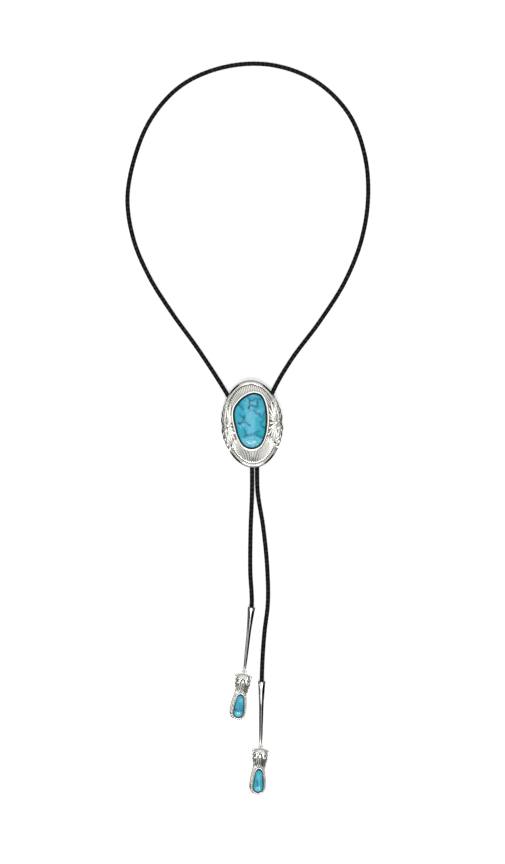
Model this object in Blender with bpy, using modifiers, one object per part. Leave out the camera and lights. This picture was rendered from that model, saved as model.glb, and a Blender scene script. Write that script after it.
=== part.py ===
"""Bolo tie: a braided leather cord with an oval slide and two drop tips, lying flat.

Metres, +Z up. The origin is on the surface that the tie lies on, under the middle of
the slide. +Y runs up the tie to the top of its neck loop, and +X is to the right as
one looks down on it.
"""
import math

import bmesh
import bpy
from mathutils import Matrix, Vector

# Fits
GAP = 0.0003                      # clear space between pieces that touch
FOOTING = 0.00003                 # a tilted cone's rim stays this much over the surface
MERGE = 0.00001                   # distance at which doubled points are one

# Cord
CORD_DIAMETER = 0.0032
CORD_STEPS = 2                    # tube points in each span of the route
CORD_SPACING = CORD_DIAMETER + GAP   # between the two strands inside the clip

# Clip behind the slide: a flat back with a sleeve for both strands
CLIP_BASE = 0.0008                # thickness of the flat back
CLIP_BASE_WIDTH = 0.014
CLIP_BASE_LOW = -0.0275           # its ends along the slide
CLIP_BASE_HIGH = 0.0200
CLIP_BASE_CORNER = 0.003
CLIP_STEP = 0.0001                # the sleeve's floor stands this much over the flat back
CLIP_WALL = 0.0007
CLIP_SLEEVE_LOW = -0.0270
CLIP_SLEEVE_HIGH = -0.0070

# Slide: an oval plate with a polished rim, leaves and a stone
SLIDE_WIDTH = 0.0420
SLIDE_LENGTH = 0.0610
SLIDE_LEAN = math.radians(3.5)    # anticlockwise, seen from above
SLIDE_PLATE = 0.0012
RIM_WIDTH = 0.0020
RIM_RISE = 0.0009                 # the rim's crown over the plate
FIELD_LOW = 0.0002                # the field over the plate, inside the rim
FIELD_HIGH = 0.0011               # and where it runs under the bezel
LEAF_WIDTH = 0.0052
LEAF_INSET = 0.0019               # from the oval's edge to the leaf's middle line
LEAF_RISE = 0.0014                # the leaf's top over the plate
LEAF_TOOTH = 0.0008
LEAF_TEETH = 4
LEAF_START = math.radians(3)      # from the oval's side to the leaf's root
LEAF_SWEEP = math.radians(38)     # from its root to its point

# Slide's stone, a freeform cabochon
STONE_WIDTH = 0.0229
STONE_LENGTH = 0.0382
STONE_HEIGHT = 0.0044
STONE_CENTRE = Vector((-0.0009, 0.0020))   # from the middle of the oval
BEZEL_WALL = 0.0012
BEZEL_RISE = 0.0022               # the bezel's lip over the plate

# Tips: a long hollow cone on each end of the cord
CONE_LENGTH = 0.0435
CONE_WALL = 0.00075               # at its rolled mouth
CONE_BORE_DEPTH = 0.0050
CONE_MOUTH = CORD_DIAMETER + 2 * (GAP + CONE_WALL)   # outer diameter of the mouth

# The wire of the eyes and rings between the cones and the drops
WIRE = 0.0005                     # its diameter
EYE_RADIUS = WIRE + GAP           # to the middle of the wire, with a ring's wire clear inside it
RING_RADIUS = EYE_RADIUS + WIRE / 2 + GAP / 2   # two eyes meet inside it

# Drops: a leaf crown over a pear shaped stone
DROP_LENGTH = 0.0328              # from the middle of the eye to the lower end
DROP_PLATE = 0.0012
DROP_PLATE_WIDTH = 0.0113
DROP_PLATE_LENGTH = 0.0218
DROP_PLATE_SHIFT = -0.0006        # the plate shows wider on the left of the stone
CROWN_WIDTH = 0.0120
CROWN_BITE = 0.00035              # how far the crown's top reaches over the eye's wire
CROWN_TOP = CROWN_BITE - EYE_RADIUS - WIRE / 2   # its ends, from the middle of the eye
CROWN_LOW = -0.0143
CROWN_RISE = 0.0018
CROWN_UPPER_RISE = 0.0026
CROWN_FOOT = 0.0003               # the crown's back over the surface
PEAR_WIDTH = 0.0074
PEAR_LENGTH = 0.0166
PEAR_MARGIN = 0.0014              # from the stone's lower end to the plate's
PEAR_HEIGHT = 0.0035
PEAR_BEZEL_WALL = 0.0008
PEAR_BEZEL_RISE = 0.0019          # over the drop's plate

# How each tip lies: the lean of its cone and of its drop, clockwise from straight down
LEFT_CONE_LEAN = math.radians(6.3)
LEFT_DROP_LEAN = math.radians(8.5)
RIGHT_CONE_LEAN = math.radians(0.9)
RIGHT_DROP_LEAN = math.radians(3.6)

# Levels over the surface, each from the one below it
CORD_RADIUS = CORD_DIAMETER / 2
CHANNEL_LEVEL = CLIP_BASE + CLIP_STEP + GAP + CORD_RADIUS
CLIP_TOP = CHANNEL_LEVEL + CORD_RADIUS + GAP + CLIP_WALL
PLATE_BACK = CLIP_TOP + GAP
PLATE_TOP = PLATE_BACK + SLIDE_PLATE
MOUTH_LEVEL = CONE_MOUTH / 2 + FOOTING
EYE_LEVEL = EYE_RADIUS + WIRE / 2

# The slide stone's outline, anticlockwise from its top: shares of half its width and length
STONE_OUTLINE = (
    (0.31, 1.00), (-0.20, 0.92), (-0.66, 0.71), (-0.93, 0.48), (-1.00, 0.16),
    (-0.92, -0.20), (-0.77, -0.58), (-0.45, -0.90), (0.00, -1.00), (0.45, -0.91),
    (0.78, -0.60), (0.95, -0.20), (1.00, 0.22), (0.93, 0.62), (0.70, 0.92),
)
# The drop stone's outline, anticlockwise from its top: shares of half its width and of its length
PEAR_OUTLINE = (
    (0.00, 0.00), (-0.36, -0.035), (-0.62, -0.10), (-0.78, -0.25), (-0.94, -0.48), (-1.00, -0.68),
    (-0.88, -0.87), (-0.50, -0.975), (0.00, -1.00), (0.50, -0.975), (0.88, -0.87), (1.00, -0.68),
    (0.94, -0.48), (0.78, -0.25), (0.62, -0.10), (0.36, -0.035),
)
# A cabochon from its base to its crown: shares of its outline and of its height
CABOCHON = (
    (1.00, 0.00), (1.00, 0.38), (0.96, 0.56), (0.86, 0.74), (0.67, 0.89), (0.40, 0.97), (0.14, 1.00),
)
# The slide's edge from its back to its field: inset as a share of the rim's width, and
# height as a share of the way from the plate's back to the rim's crown
RIM_SECTION = (
    (0.35, 0.00), (0.00, 0.20), (0.00, 0.50), (0.12, 0.80), (0.50, 1.00), (0.88, 0.80), (1.00, 0.55),
)
# The cone's outside: shares of its length, and of its mouth's diameter
CONE_SECTION = (
    (0.00, 0.90), (0.012, 1.00), (0.035, 0.96), (0.08, 0.87), (0.15, 0.79), (0.21, 0.73),
    (0.29, 0.65), (0.37, 0.59), (0.53, 0.54), (0.69, 0.49), (0.85, 0.44), (0.94, 0.39), (1.00, 0.33),
)
# The crown's right edge from its top: shares of half its width, and of its length
CROWN_EDGE = (
    (0.22, 0.00), (0.70, 0.01), (1.00, 0.05), (0.66, 0.17), (0.93, 0.27), (0.64, 0.38),
    (0.90, 0.53), (0.68, 0.63), (0.80, 0.80), (0.74, 1.00),
)
CROWN_UPPER_SHARE = 0.66          # the upper leaves' width as a share of the crown's

# Where the mouths of the tips lie
LEFT_MOUTH = (-0.00035, -0.1281)
RIGHT_MOUTH = (0.0068, -0.1799)

# The cord's route between the mouths and the clip, and round the neck: x, y, and its lift
# as a share of the way from lying on the surface to its level in the clip
LEFT_TAIL = (
    (-0.0012, -0.1030, 0.0),
    (-0.0010, -0.0750, 0.0),
    (0.0000, -0.0466, 0.4),
)
NECK_LOOP = (
    (-0.0113, 0.0108, 0.95),
    (-0.0216, 0.0277, 0.5),
    (-0.0382, 0.0530, 0.0),
    (-0.0563, 0.0781, 0.0),
    (-0.0719, 0.1030, 0.0),
    (-0.0827, 0.1285, 0.0),
    (-0.0871, 0.1580, 0.0),
    (-0.0823, 0.1855, 0.0),
    (-0.0705, 0.2136, 0.0),
    (-0.0490, 0.2370, 0.0),
    (-0.0189, 0.2497, 0.0),
    (0.0142, 0.2510, 0.0),
    (0.0453, 0.2392, 0.0),
    (0.0683, 0.2158, 0.0),
    (0.0792, 0.1862, 0.0),
    (0.0811, 0.1565, 0.0),
    (0.0763, 0.1278, 0.0),
    (0.0651, 0.0998, 0.0),
    (0.0469, 0.0710, 0.0),
    (0.0272, 0.0445, 0.05),
    (0.0171, 0.0277, 0.5),
    (0.0096, 0.0115, 0.95),
)
RIGHT_TAIL = (
    (0.0039, -0.0466, 0.4),
    (0.0078, -0.0720, 0.0),
    (0.0106, -0.1000, 0.0),
    (0.0110, -0.1265, 0.0),
    (0.0088, -0.1450, 0.0),
)


def clear_scene():
    for thing in list(bpy.data.objects):
        bpy.data.objects.remove(thing)


def new_collection(name):
    group = bpy.data.collections.new(name)
    bpy.context.scene.collection.children.link(group)
    return group


def material(name, colour, roughness, metallic=0.0):
    finish = bpy.data.materials.new(name)
    finish.use_nodes = True
    shader = finish.node_tree.nodes["Principled BSDF"]
    shader.inputs["Base Color"].default_value = (*colour, 1)
    shader.inputs["Roughness"].default_value = roughness
    shader.inputs["Metallic"].default_value = metallic
    return finish


def smooth_curve(given, steps, closed=False):
    """Points on a smooth curve through the given ones, with the same steps in each span."""
    knots = [Vector(point) for point in given]
    count = len(knots)

    def heading(index):
        if not closed and index == 0:
            return (knots[1] - knots[0]).normalized()
        if not closed and index == count - 1:
            return (knots[-1] - knots[-2]).normalized()
        before = knots[index] - knots[index - 1]
        after = knots[(index + 1) % count] - knots[index]
        turn = before.normalized() * after.length + after.normalized() * before.length
        return turn / (before.length + after.length)

    points = []
    for index in range(count if closed else count - 1):
        start = knots[index]
        end = knots[(index + 1) % count]
        reach = (end - start).length
        leaving = heading(index) * reach
        arriving = heading((index + 1) % count) * reach
        for step in range(steps):
            t = step / steps
            from_start = start * (2 * t**3 - 3 * t**2 + 1) + leaving * (t**3 - 2 * t**2 + t)
            to_end = end * (3 * t**2 - 2 * t**3) + arriving * (t**3 - t**2)
            points.append(from_start + to_end)
    if not closed:
        points.append(knots[-1])
    return points


def freeform(shares, half_width, length, centre, steps=4):
    """A smooth closed outline through a table of shares."""
    scaled = [(centre[0] + x * half_width, centre[1] + y * length) for x, y in shares]
    return smooth_curve(scaled, steps, closed=True)


def widened(outline, distance):
    """An anticlockwise outline moved outwards by a distance."""
    moved = []
    for index, point in enumerate(outline):
        along = outline[(index + 1) % len(outline)] - outline[index - 1]
        moved.append(point + Vector((along.y, -along.x)).normalized() * distance)
    return moved


def shrunk(outline, share):
    """An outline drawn in towards its middle, to a share of its size."""
    middle = sum(outline, Vector((0, 0))) / len(outline)
    return [middle + (point - middle) * share for point in outline]


def rounded_rectangle(left, right, low, high, corner, steps=5):
    """An anticlockwise rectangle with round corners."""
    outline = []
    centres = (
        (right - corner, high - corner),
        (left + corner, high - corner),
        (left + corner, low + corner),
        (right - corner, low + corner),
    )
    for quarter, (x, y) in enumerate(centres):
        for step in range(steps + 1):
            angle = math.pi / 2 * (quarter + step / steps)
            outline.append(Vector((x + corner * math.cos(angle), y + corner * math.sin(angle))))
    return outline


def add_piece(name, mesh, group, finish=None, frame=None):
    piece = bpy.data.objects.new(name, mesh)
    piece.parent = frame
    group.objects.link(piece)
    if finish:
        mesh.materials.clear()
        mesh.materials.append(finish)
    else:
        piece.hide_render = True
        piece.display_type = "WIRE"
    return piece


def tidy_mesh(mesh):
    """Weld a mesh's doubled points and face it outwards."""
    work = bmesh.new()
    work.from_mesh(mesh)
    bmesh.ops.remove_doubles(work, verts=work.verts, dist=MERGE)
    bmesh.ops.recalc_face_normals(work, faces=work.faces)
    work.to_mesh(mesh)
    work.free()
    return mesh


def flat_mesh(name, outline, start, end, along_y=False):
    """A flat outline filled and drawn out along Z, or an upright one drawn out along Y."""
    curve = bpy.data.curves.new(name, "CURVE")
    curve.dimensions = "2D"
    curve.fill_mode = "BOTH"
    curve.extrude = (end - start) / 2
    spline = curve.splines.new("POLY")
    spline.points.add(len(outline) - 1)
    for point, place in zip(spline.points, outline):
        point.co = (place.x, place.y, 0, 1)
    spline.use_cyclic_u = True
    guide = bpy.data.objects.new(name, curve)
    bpy.context.scene.collection.objects.link(guide)
    bpy.context.view_layer.update()
    drawn = guide.evaluated_get(bpy.context.evaluated_depsgraph_get())
    mesh = bpy.data.meshes.new_from_object(drawn)
    bpy.data.objects.remove(guide)
    middle = (start + end) / 2
    if along_y:
        mesh.transform(Matrix.Translation((0, middle, 0)) @ Matrix.Rotation(math.pi / 2, 4, "X"))
    else:
        mesh.transform(Matrix.Translation((0, 0, middle)))
    return tidy_mesh(mesh)


def loft_mesh(name, rings):
    """A solid through closed rings of as many points each, from the lowest to the highest."""
    work = bmesh.new()
    loops = [[work.verts.new(point) for point in ring] for ring in rings]
    for lower, upper in zip(loops, loops[1:]):
        for index in range(len(lower)):
            following = (index + 1) % len(lower)
            work.faces.new((lower[index], lower[following], upper[following], upper[index]))
    work.faces.new(reversed(loops[0]))
    work.faces.new(loops[-1])
    mesh = bpy.data.meshes.new(name)
    work.to_mesh(mesh)
    work.free()
    return tidy_mesh(mesh)


def eye_mesh(name, ring_radius, plane):
    """A ring of wire lying flat, or standing upright along Y."""
    bpy.ops.mesh.primitive_torus_add(
        major_radius=ring_radius, minor_radius=WIRE / 2, major_segments=20, minor_segments=8
    )
    made = bpy.context.active_object
    mesh = made.data
    mesh.name = name
    bpy.data.objects.remove(made)
    if plane == "upright":
        mesh.transform(Matrix.Rotation(math.pi / 2, 4, "Y"))
    return mesh


def combine(piece, other, operation="UNION"):
    boolean = piece.modifiers.new(other.name, "BOOLEAN")
    boolean.operation = operation
    boolean.solver = "EXACT"
    boolean.object = other


def smooth_shade(piece, angle=math.radians(35)):
    piece.data.shade_smooth()
    piece.data.set_sharp_from_angle(angle=angle)


def cabochon_rings(outline, bottom, height):
    """A stone's rings, from its flat base over its rounded edge to its crown."""
    return [
        [(*point, bottom + share_up * height) for point in shrunk(outline, share_out)]
        for share_out, share_up in CABOCHON
    ]


def oval(inset, angles):
    """The slide's oval, drawn in by an inset, at the given angles."""
    across = SLIDE_WIDTH / 2 - inset
    along = SLIDE_LENGTH / 2 - inset
    return [Vector((across * math.cos(angle), along * math.sin(angle))) for angle in angles]


def stone_outline():
    return freeform(STONE_OUTLINE, STONE_WIDTH / 2, STONE_LENGTH / 2, STONE_CENTRE)


def slide_plate_mesh():
    """The plate, its rim and its field, which ends under the bezel in the stone's outline."""
    angles = [math.atan2(point.y, point.x) for point in freeform(STONE_OUTLINE, 1, 1, (0, 0))]
    rim_height = SLIDE_PLATE + RIM_RISE
    rings = []
    for share_in, share_up in RIM_SECTION:
        level = PLATE_BACK + share_up * rim_height
        rings.append([(*point, level) for point in oval(share_in * RIM_WIDTH, angles)])
    rings.append([(*point, PLATE_TOP + FIELD_LOW) for point in oval(RIM_WIDTH, angles)])
    rings.append([(*point, PLATE_TOP + FIELD_HIGH) for point in widened(stone_outline(), GAP)])
    return loft_mesh("slide_plate", rings)


def leaf_outline(side, turn):
    """A serrated leaf along the oval: side is -1 or 1 across, turn is -1 or 1 up or down."""

    def edge(share, reach):
        angle = LEAF_START + share * LEAF_SWEEP
        middle = oval(LEAF_INSET, [angle])[0]
        outward = Vector((middle.x / SLIDE_WIDTH**2, middle.y / SLIDE_LENGTH**2)).normalized()
        swell = math.sin(math.pi * (0.12 + 0.86 * share)) ** 0.7
        place = middle + outward * (reach * swell)
        return Vector((side * place.x, turn * place.y))

    outer = []
    inner = []
    for tooth in range(LEAF_TEETH):
        root = tooth / LEAF_TEETH
        point = (tooth + 0.7) / LEAF_TEETH
        outer.append(edge(root, LEAF_WIDTH / 2 - LEAF_TOOTH))
        outer.append(edge(point, LEAF_WIDTH / 2))
        inner.append(edge(root, -LEAF_WIDTH / 2 + LEAF_TOOTH))
        inner.append(edge(point, -LEAF_WIDTH / 2))
    outline = outer + [edge(1.0, 0.0)] + inner[::-1]
    return outline if side == turn else outline[::-1]


def build_slide(parts, helpers, silver, turquoise):
    """The oval setting with its leaves and bezel as one soldered solid, and its stone."""
    frame = bpy.data.objects.new("slide_frame", None)
    frame.rotation_euler.z = SLIDE_LEAN
    parts.objects.link(frame)
    setting = add_piece("slide_setting", slide_plate_mesh(), parts, silver, frame)

    root = PLATE_TOP - SLIDE_PLATE / 2
    for side, side_name in ((-1, "left"), (1, "right")):
        for turn, turn_name in ((1, "upper"), (-1, "lower")):
            name = f"{turn_name}_{side_name}_leaf"
            leaf = flat_mesh(name, leaf_outline(side, turn), root, PLATE_TOP + LEAF_RISE)
            combine(setting, add_piece(name, leaf, helpers, frame=frame))

    seat = widened(stone_outline(), GAP)
    bezel = flat_mesh("bezel", widened(seat, BEZEL_WALL), root, PLATE_TOP + BEZEL_RISE)
    combine(setting, add_piece("bezel", bezel, helpers, frame=frame))
    recess = flat_mesh("recess", seat, PLATE_TOP, PLATE_TOP + STONE_HEIGHT)
    combine(setting, add_piece("recess", recess, helpers, frame=frame), "DIFFERENCE")
    smooth_shade(setting)

    rings = cabochon_rings(stone_outline(), PLATE_TOP + GAP, STONE_HEIGHT)
    smooth_shade(add_piece("slide_stone", loft_mesh("slide_stone", rings), parts, turquoise, frame))
    return frame


def build_clip(parts, helpers, steel, frame):
    """The clip on the slide's back: a flat foot and a sleeve that both strands run through."""
    foot = rounded_rectangle(
        -CLIP_BASE_WIDTH / 2, CLIP_BASE_WIDTH / 2, CLIP_BASE_LOW, CLIP_BASE_HIGH, CLIP_BASE_CORNER
    )
    clip = add_piece("cord_clip", flat_mesh("cord_clip", foot, 0, CLIP_BASE), parts, steel, frame)

    def sleeve_outline(reach):
        half = CORD_SPACING / 2 + reach
        return rounded_rectangle(-half, half, CHANNEL_LEVEL - reach, CHANNEL_LEVEL + reach, reach)

    inside = CORD_RADIUS + GAP
    outside = inside + CLIP_WALL
    sleeve = flat_mesh("sleeve", sleeve_outline(outside), CLIP_SLEEVE_LOW, CLIP_SLEEVE_HIGH, True)
    combine(clip, add_piece("sleeve", sleeve, helpers, frame=frame))
    past_low = CLIP_SLEEVE_LOW - GAP
    past_high = CLIP_SLEEVE_HIGH + GAP
    channel = flat_mesh("channel", sleeve_outline(inside), past_low, past_high, True)
    combine(clip, add_piece("channel", channel, helpers, frame=frame), "DIFFERENCE")
    smooth_shade(clip)


def turned_cone(name, group, finish, frame):
    """The hollow cone, its mouth at its frame's origin and its point down its own Z."""
    bore = CORD_RADIUS + GAP
    profile = [(0, -CONE_BORE_DEPTH), (bore, -CONE_BORE_DEPTH), (bore, 0)]
    profile += [(CONE_MOUTH / 2 * across, -CONE_LENGTH * along) for along, across in CONE_SECTION]
    profile.append((0, -CONE_LENGTH))
    mesh = bpy.data.meshes.new(name)
    edges = [(index, index + 1) for index in range(len(profile) - 1)]
    mesh.from_pydata([(x, 0, z) for x, z in profile], edges, [])
    cone = add_piece(name, mesh, group, finish, frame)
    turning = cone.modifiers.new("turning", "SCREW")
    turning.steps = 16
    turning.render_steps = 16
    turning.use_merge_vertices = True
    turning.merge_threshold = MERGE
    return cone


def build_tip(side, mouth, cone_lean, drop_lean, parts, helpers, silver, turquoise):
    """One tip: the cone on the cord's end, its ring, and the drop that lies below it."""
    reach = CONE_LENGTH + EYE_RADIUS - WIRE / 2
    slope = math.asin((MOUTH_LEVEL - EYE_LEVEL) / reach)
    flat_way = Vector((-math.sin(cone_lean), -math.cos(cone_lean), 0))
    way = flat_way * math.cos(slope) - Vector((0, 0, math.sin(slope)))
    start = Vector((*mouth, MOUTH_LEVEL))
    cone_frame = bpy.data.objects.new(f"{side}_cone_frame", None)
    cone_frame.location = start
    cone_frame.rotation_euler = way.to_track_quat("-Z", "Y").to_euler()
    parts.objects.link(cone_frame)
    cone = turned_cone(f"{side}_tip_cone", parts, silver, cone_frame)
    cone_loop = eye_mesh("cone_eye", EYE_RADIUS, "upright")
    cone_eye = add_piece(f"{side}_cone_eye", cone_loop, helpers, frame=cone_frame)
    cone_eye.location.z = -reach
    combine(cone, cone_eye)
    smooth_shade(cone)

    eye = start + way * reach
    ring = add_piece(f"{side}_jump_ring", eye_mesh("jump_ring", RING_RADIUS, "flat"), parts, silver)
    ring.location = eye + flat_way * RING_RADIUS
    smooth_shade(ring)

    drop_way = Vector((-math.sin(drop_lean), -math.cos(drop_lean), 0))
    drop_frame = bpy.data.objects.new(f"{side}_drop_frame", None)
    drop_frame.location = Vector((ring.location.x, ring.location.y, 0)) + drop_way * RING_RADIUS
    drop_frame.rotation_euler.z = -drop_lean
    parts.objects.link(drop_frame)
    build_drop(side, drop_frame, parts, helpers, silver, turquoise)
    return start + way * (CONE_BORE_DEPTH - GAP)


def crown_outline(share):
    """The leaf crown's zigzag outline, with its width drawn in to a share."""
    length = CROWN_TOP - CROWN_LOW
    right = [
        Vector((across * share * CROWN_WIDTH / 2, CROWN_TOP - along * length))
        for across, along in CROWN_EDGE
    ]
    left = [Vector((-point.x, point.y)) for point in right]
    return left + right[::-1]


def build_drop(side, frame, parts, helpers, silver, turquoise):
    """A drop lying on its back, hung from the eye at its frame's origin."""
    plate_outline = freeform(
        PEAR_OUTLINE, DROP_PLATE_WIDTH / 2, DROP_PLATE_LENGTH,
        (DROP_PLATE_SHIFT, -DROP_LENGTH + DROP_PLATE_LENGTH),
    )
    setting = add_piece(
        f"{side}_drop_setting", flat_mesh("drop_plate", plate_outline, 0, DROP_PLATE), parts, silver, frame
    )
    layers = ((1.0, CROWN_RISE), (CROWN_UPPER_SHARE, CROWN_UPPER_RISE))
    for number, (share, top) in enumerate(layers):
        leaves = flat_mesh("crown_leaves", crown_outline(share), CROWN_FOOT, top)
        combine(setting, add_piece(f"{side}_crown_{number}", leaves, helpers, frame=frame))

    stone_line = freeform(
        PEAR_OUTLINE, PEAR_WIDTH / 2, PEAR_LENGTH, (0, -DROP_LENGTH + PEAR_MARGIN + PEAR_LENGTH)
    )
    seat = widened(stone_line, GAP)
    bezel_top = DROP_PLATE + PEAR_BEZEL_RISE
    bezel = flat_mesh("pear_bezel", widened(seat, PEAR_BEZEL_WALL), DROP_PLATE / 2, bezel_top)
    combine(setting, add_piece(f"{side}_pear_bezel", bezel, helpers, frame=frame))
    recess = flat_mesh("pear_recess", seat, DROP_PLATE, DROP_PLATE + PEAR_HEIGHT)
    combine(setting, add_piece(f"{side}_pear_recess", recess, helpers, frame=frame), "DIFFERENCE")
    eye = add_piece(f"{side}_drop_eye", eye_mesh("drop_eye", EYE_RADIUS, "upright"), helpers, frame=frame)
    eye.location.z = EYE_LEVEL
    combine(setting, eye)
    smooth_shade(setting)

    stone_mesh = loft_mesh("drop_stone", cabochon_rings(stone_line, DROP_PLATE + GAP, PEAR_HEIGHT))
    smooth_shade(add_piece(f"{side}_drop_stone", stone_mesh, parts, turquoise, frame))


def build_cord(left_end, right_end, parts, leather):
    """The cord as one tube, from inside the left tip round the neck loop to inside the right."""

    def lifted(rows):
        rise = CHANNEL_LEVEL - CORD_RADIUS
        return [(x, y, CORD_RADIUS + lift * rise) for x, y, lift in rows]

    def lane(side):
        lean = Matrix.Rotation(SLIDE_LEAN, 4, "Z")
        stations = (CLIP_SLEEVE_LOW, CLIP_SLEEVE_HIGH, CLIP_SLEEVE_HIGH + CORD_DIAMETER)
        return [lean @ Vector((side * CORD_SPACING / 2, y, CHANNEL_LEVEL)) for y in stations]

    route = [left_end, (*LEFT_MOUTH, MOUTH_LEVEL)]
    route += lifted(LEFT_TAIL) + lane(-1)
    route += lifted(NECK_LOOP) + lane(1)[::-1]
    route += lifted(RIGHT_TAIL) + [(*RIGHT_MOUTH, MOUTH_LEVEL), right_end]

    curve = bpy.data.curves.new("cord", "CURVE")
    curve.dimensions = "3D"
    curve.bevel_depth = CORD_RADIUS
    curve.bevel_resolution = 2
    curve.use_fill_caps = True
    points = smooth_curve(route, CORD_STEPS)
    spline = curve.splines.new("POLY")
    spline.points.add(len(points) - 1)
    for point, place in zip(spline.points, points):
        point.co = (place.x, place.y, max(place.z, CORD_RADIUS), 1)
    curve.materials.append(leather)
    cord = bpy.data.objects.new("cord", curve)
    parts.objects.link(cord)


def main():
    clear_scene()
    parts = new_collection("bolo tie")
    helpers = new_collection("bolo tie cutters")
    silver = material("polished silver", (0.78, 0.78, 0.76), 0.18, 1.0)
    steel = material("plain steel", (0.60, 0.60, 0.61), 0.30, 1.0)
    turquoise = material("turquoise", (0.06, 0.46, 0.62), 0.22)
    leather = material("black braided leather", (0.015, 0.015, 0.016), 0.45)

    frame = build_slide(parts, helpers, silver, turquoise)
    build_clip(parts, helpers, steel, frame)
    left_end = build_tip(
        "left", LEFT_MOUTH, LEFT_CONE_LEAN, LEFT_DROP_LEAN, parts, helpers, silver, turquoise
    )
    right_end = build_tip(
        "right", RIGHT_MOUTH, RIGHT_CONE_LEAN, RIGHT_DROP_LEAN, parts, helpers, silver, turquoise
    )
    build_cord(left_end, right_end, parts, leather)


main()
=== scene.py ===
"""Looks of a bolo tie laid flat: braided leather cord, oval silver slide with a turquoise
cabochon, and two long cone tips with leaf and pear stone drops. Metres, +Z up."""
import math

import bmesh
import bpy
import numpy as np
from bpy.props import FloatProperty, FloatVectorProperty, IntProperty, PointerProperty
from mathutils import Matrix, Vector, noise


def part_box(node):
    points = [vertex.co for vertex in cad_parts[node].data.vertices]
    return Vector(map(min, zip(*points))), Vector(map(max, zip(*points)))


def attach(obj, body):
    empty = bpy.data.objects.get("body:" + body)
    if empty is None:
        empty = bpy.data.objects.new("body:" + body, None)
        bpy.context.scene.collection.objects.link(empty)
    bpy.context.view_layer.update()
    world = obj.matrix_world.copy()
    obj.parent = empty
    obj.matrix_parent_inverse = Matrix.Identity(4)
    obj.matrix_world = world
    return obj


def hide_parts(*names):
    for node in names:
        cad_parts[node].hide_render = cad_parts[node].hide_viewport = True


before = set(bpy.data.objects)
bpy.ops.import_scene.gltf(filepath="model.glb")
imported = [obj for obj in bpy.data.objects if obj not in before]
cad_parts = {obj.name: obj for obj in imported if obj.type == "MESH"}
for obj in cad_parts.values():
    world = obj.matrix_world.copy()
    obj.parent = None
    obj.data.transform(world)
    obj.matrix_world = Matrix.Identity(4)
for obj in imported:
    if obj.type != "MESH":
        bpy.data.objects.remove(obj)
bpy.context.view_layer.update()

bl_info = {
    "name": "Bolo Tie Maker",
    "version": (1, 0, 0),
    "blender": (4, 5, 0),
    "location": "3D View > Sidebar > Bolo",
    "description": "Builds the cord, slide and tips of a bolo tie round its packed frame",
    "category": "Add Mesh",
}

# Photograph: its frame, and the pixel that the middle of the slide falls on
PHOTO_WIDTH = 505
PHOTO_HEIGHT = 864
SLIDE_PIXEL = (252.0, 424.0)
METRES_PER_PIXEL = 0.00070

GAP = 0.0003  # clear space between fitted pieces

# The cord's route, as the frame has it: x, y, and lift from lying on the surface (0) to
# running through the clip (1)
LEFT_MOUTH = (-0.00035, -0.1281)
RIGHT_MOUTH = (0.0068, -0.1799)
LEFT_TAIL = ((-0.0012, -0.1030, 0.0), (-0.0010, -0.0750, 0.0), (0.0000, -0.0466, 0.4))
NECK_LOOP = (
    (-0.0113, 0.0108, 0.95), (-0.0216, 0.0277, 0.5), (-0.0382, 0.0530, 0.0), (-0.0563, 0.0781, 0.0),
    (-0.0719, 0.1030, 0.0), (-0.0827, 0.1285, 0.0), (-0.0871, 0.1580, 0.0), (-0.0823, 0.1855, 0.0),
    (-0.0705, 0.2136, 0.0), (-0.0490, 0.2370, 0.0), (-0.0189, 0.2497, 0.0), (0.0142, 0.2510, 0.0),
    (0.0453, 0.2392, 0.0), (0.0683, 0.2158, 0.0), (0.0792, 0.1862, 0.0), (0.0811, 0.1565, 0.0),
    (0.0763, 0.1278, 0.0), (0.0651, 0.0998, 0.0), (0.0469, 0.0710, 0.0), (0.0272, 0.0445, 0.05),
    (0.0171, 0.0277, 0.5), (0.0096, 0.0115, 0.95),
)
RIGHT_TAIL = (
    (0.0039, -0.0466, 0.4), (0.0078, -0.0720, 0.0), (0.0106, -0.1000, 0.0), (0.0110, -0.1265, 0.0),
    (0.0088, -0.1450, 0.0),
)
CHANNEL_LEVEL = 0.0028  # the strands' middle inside the clip
CLIP_STATIONS = (-0.0270, -0.0070, -0.0038)  # along the slide, from its sleeve's low end up
CONE_BORE_DEPTH = 0.0050

# Outlines as shares of half a stone's width and length, anticlockwise
STONE_OUTLINE = (
    (0.31, 1.00), (-0.20, 0.92), (-0.66, 0.71), (-0.93, 0.48), (-1.00, 0.16),
    (-0.92, -0.20), (-0.77, -0.58), (-0.45, -0.90), (0.00, -1.00), (0.45, -0.91),
    (0.78, -0.60), (0.95, -0.20), (1.00, 0.22), (0.93, 0.62), (0.70, 0.92),
)
PEAR_SIDE = (
    (-0.36, 0.93), (-0.62, 0.80), (-0.78, 0.50), (-0.94, 0.04), (-1.00, -0.36), (-0.88, -0.74),
    (-0.50, -0.95),
)

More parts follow.
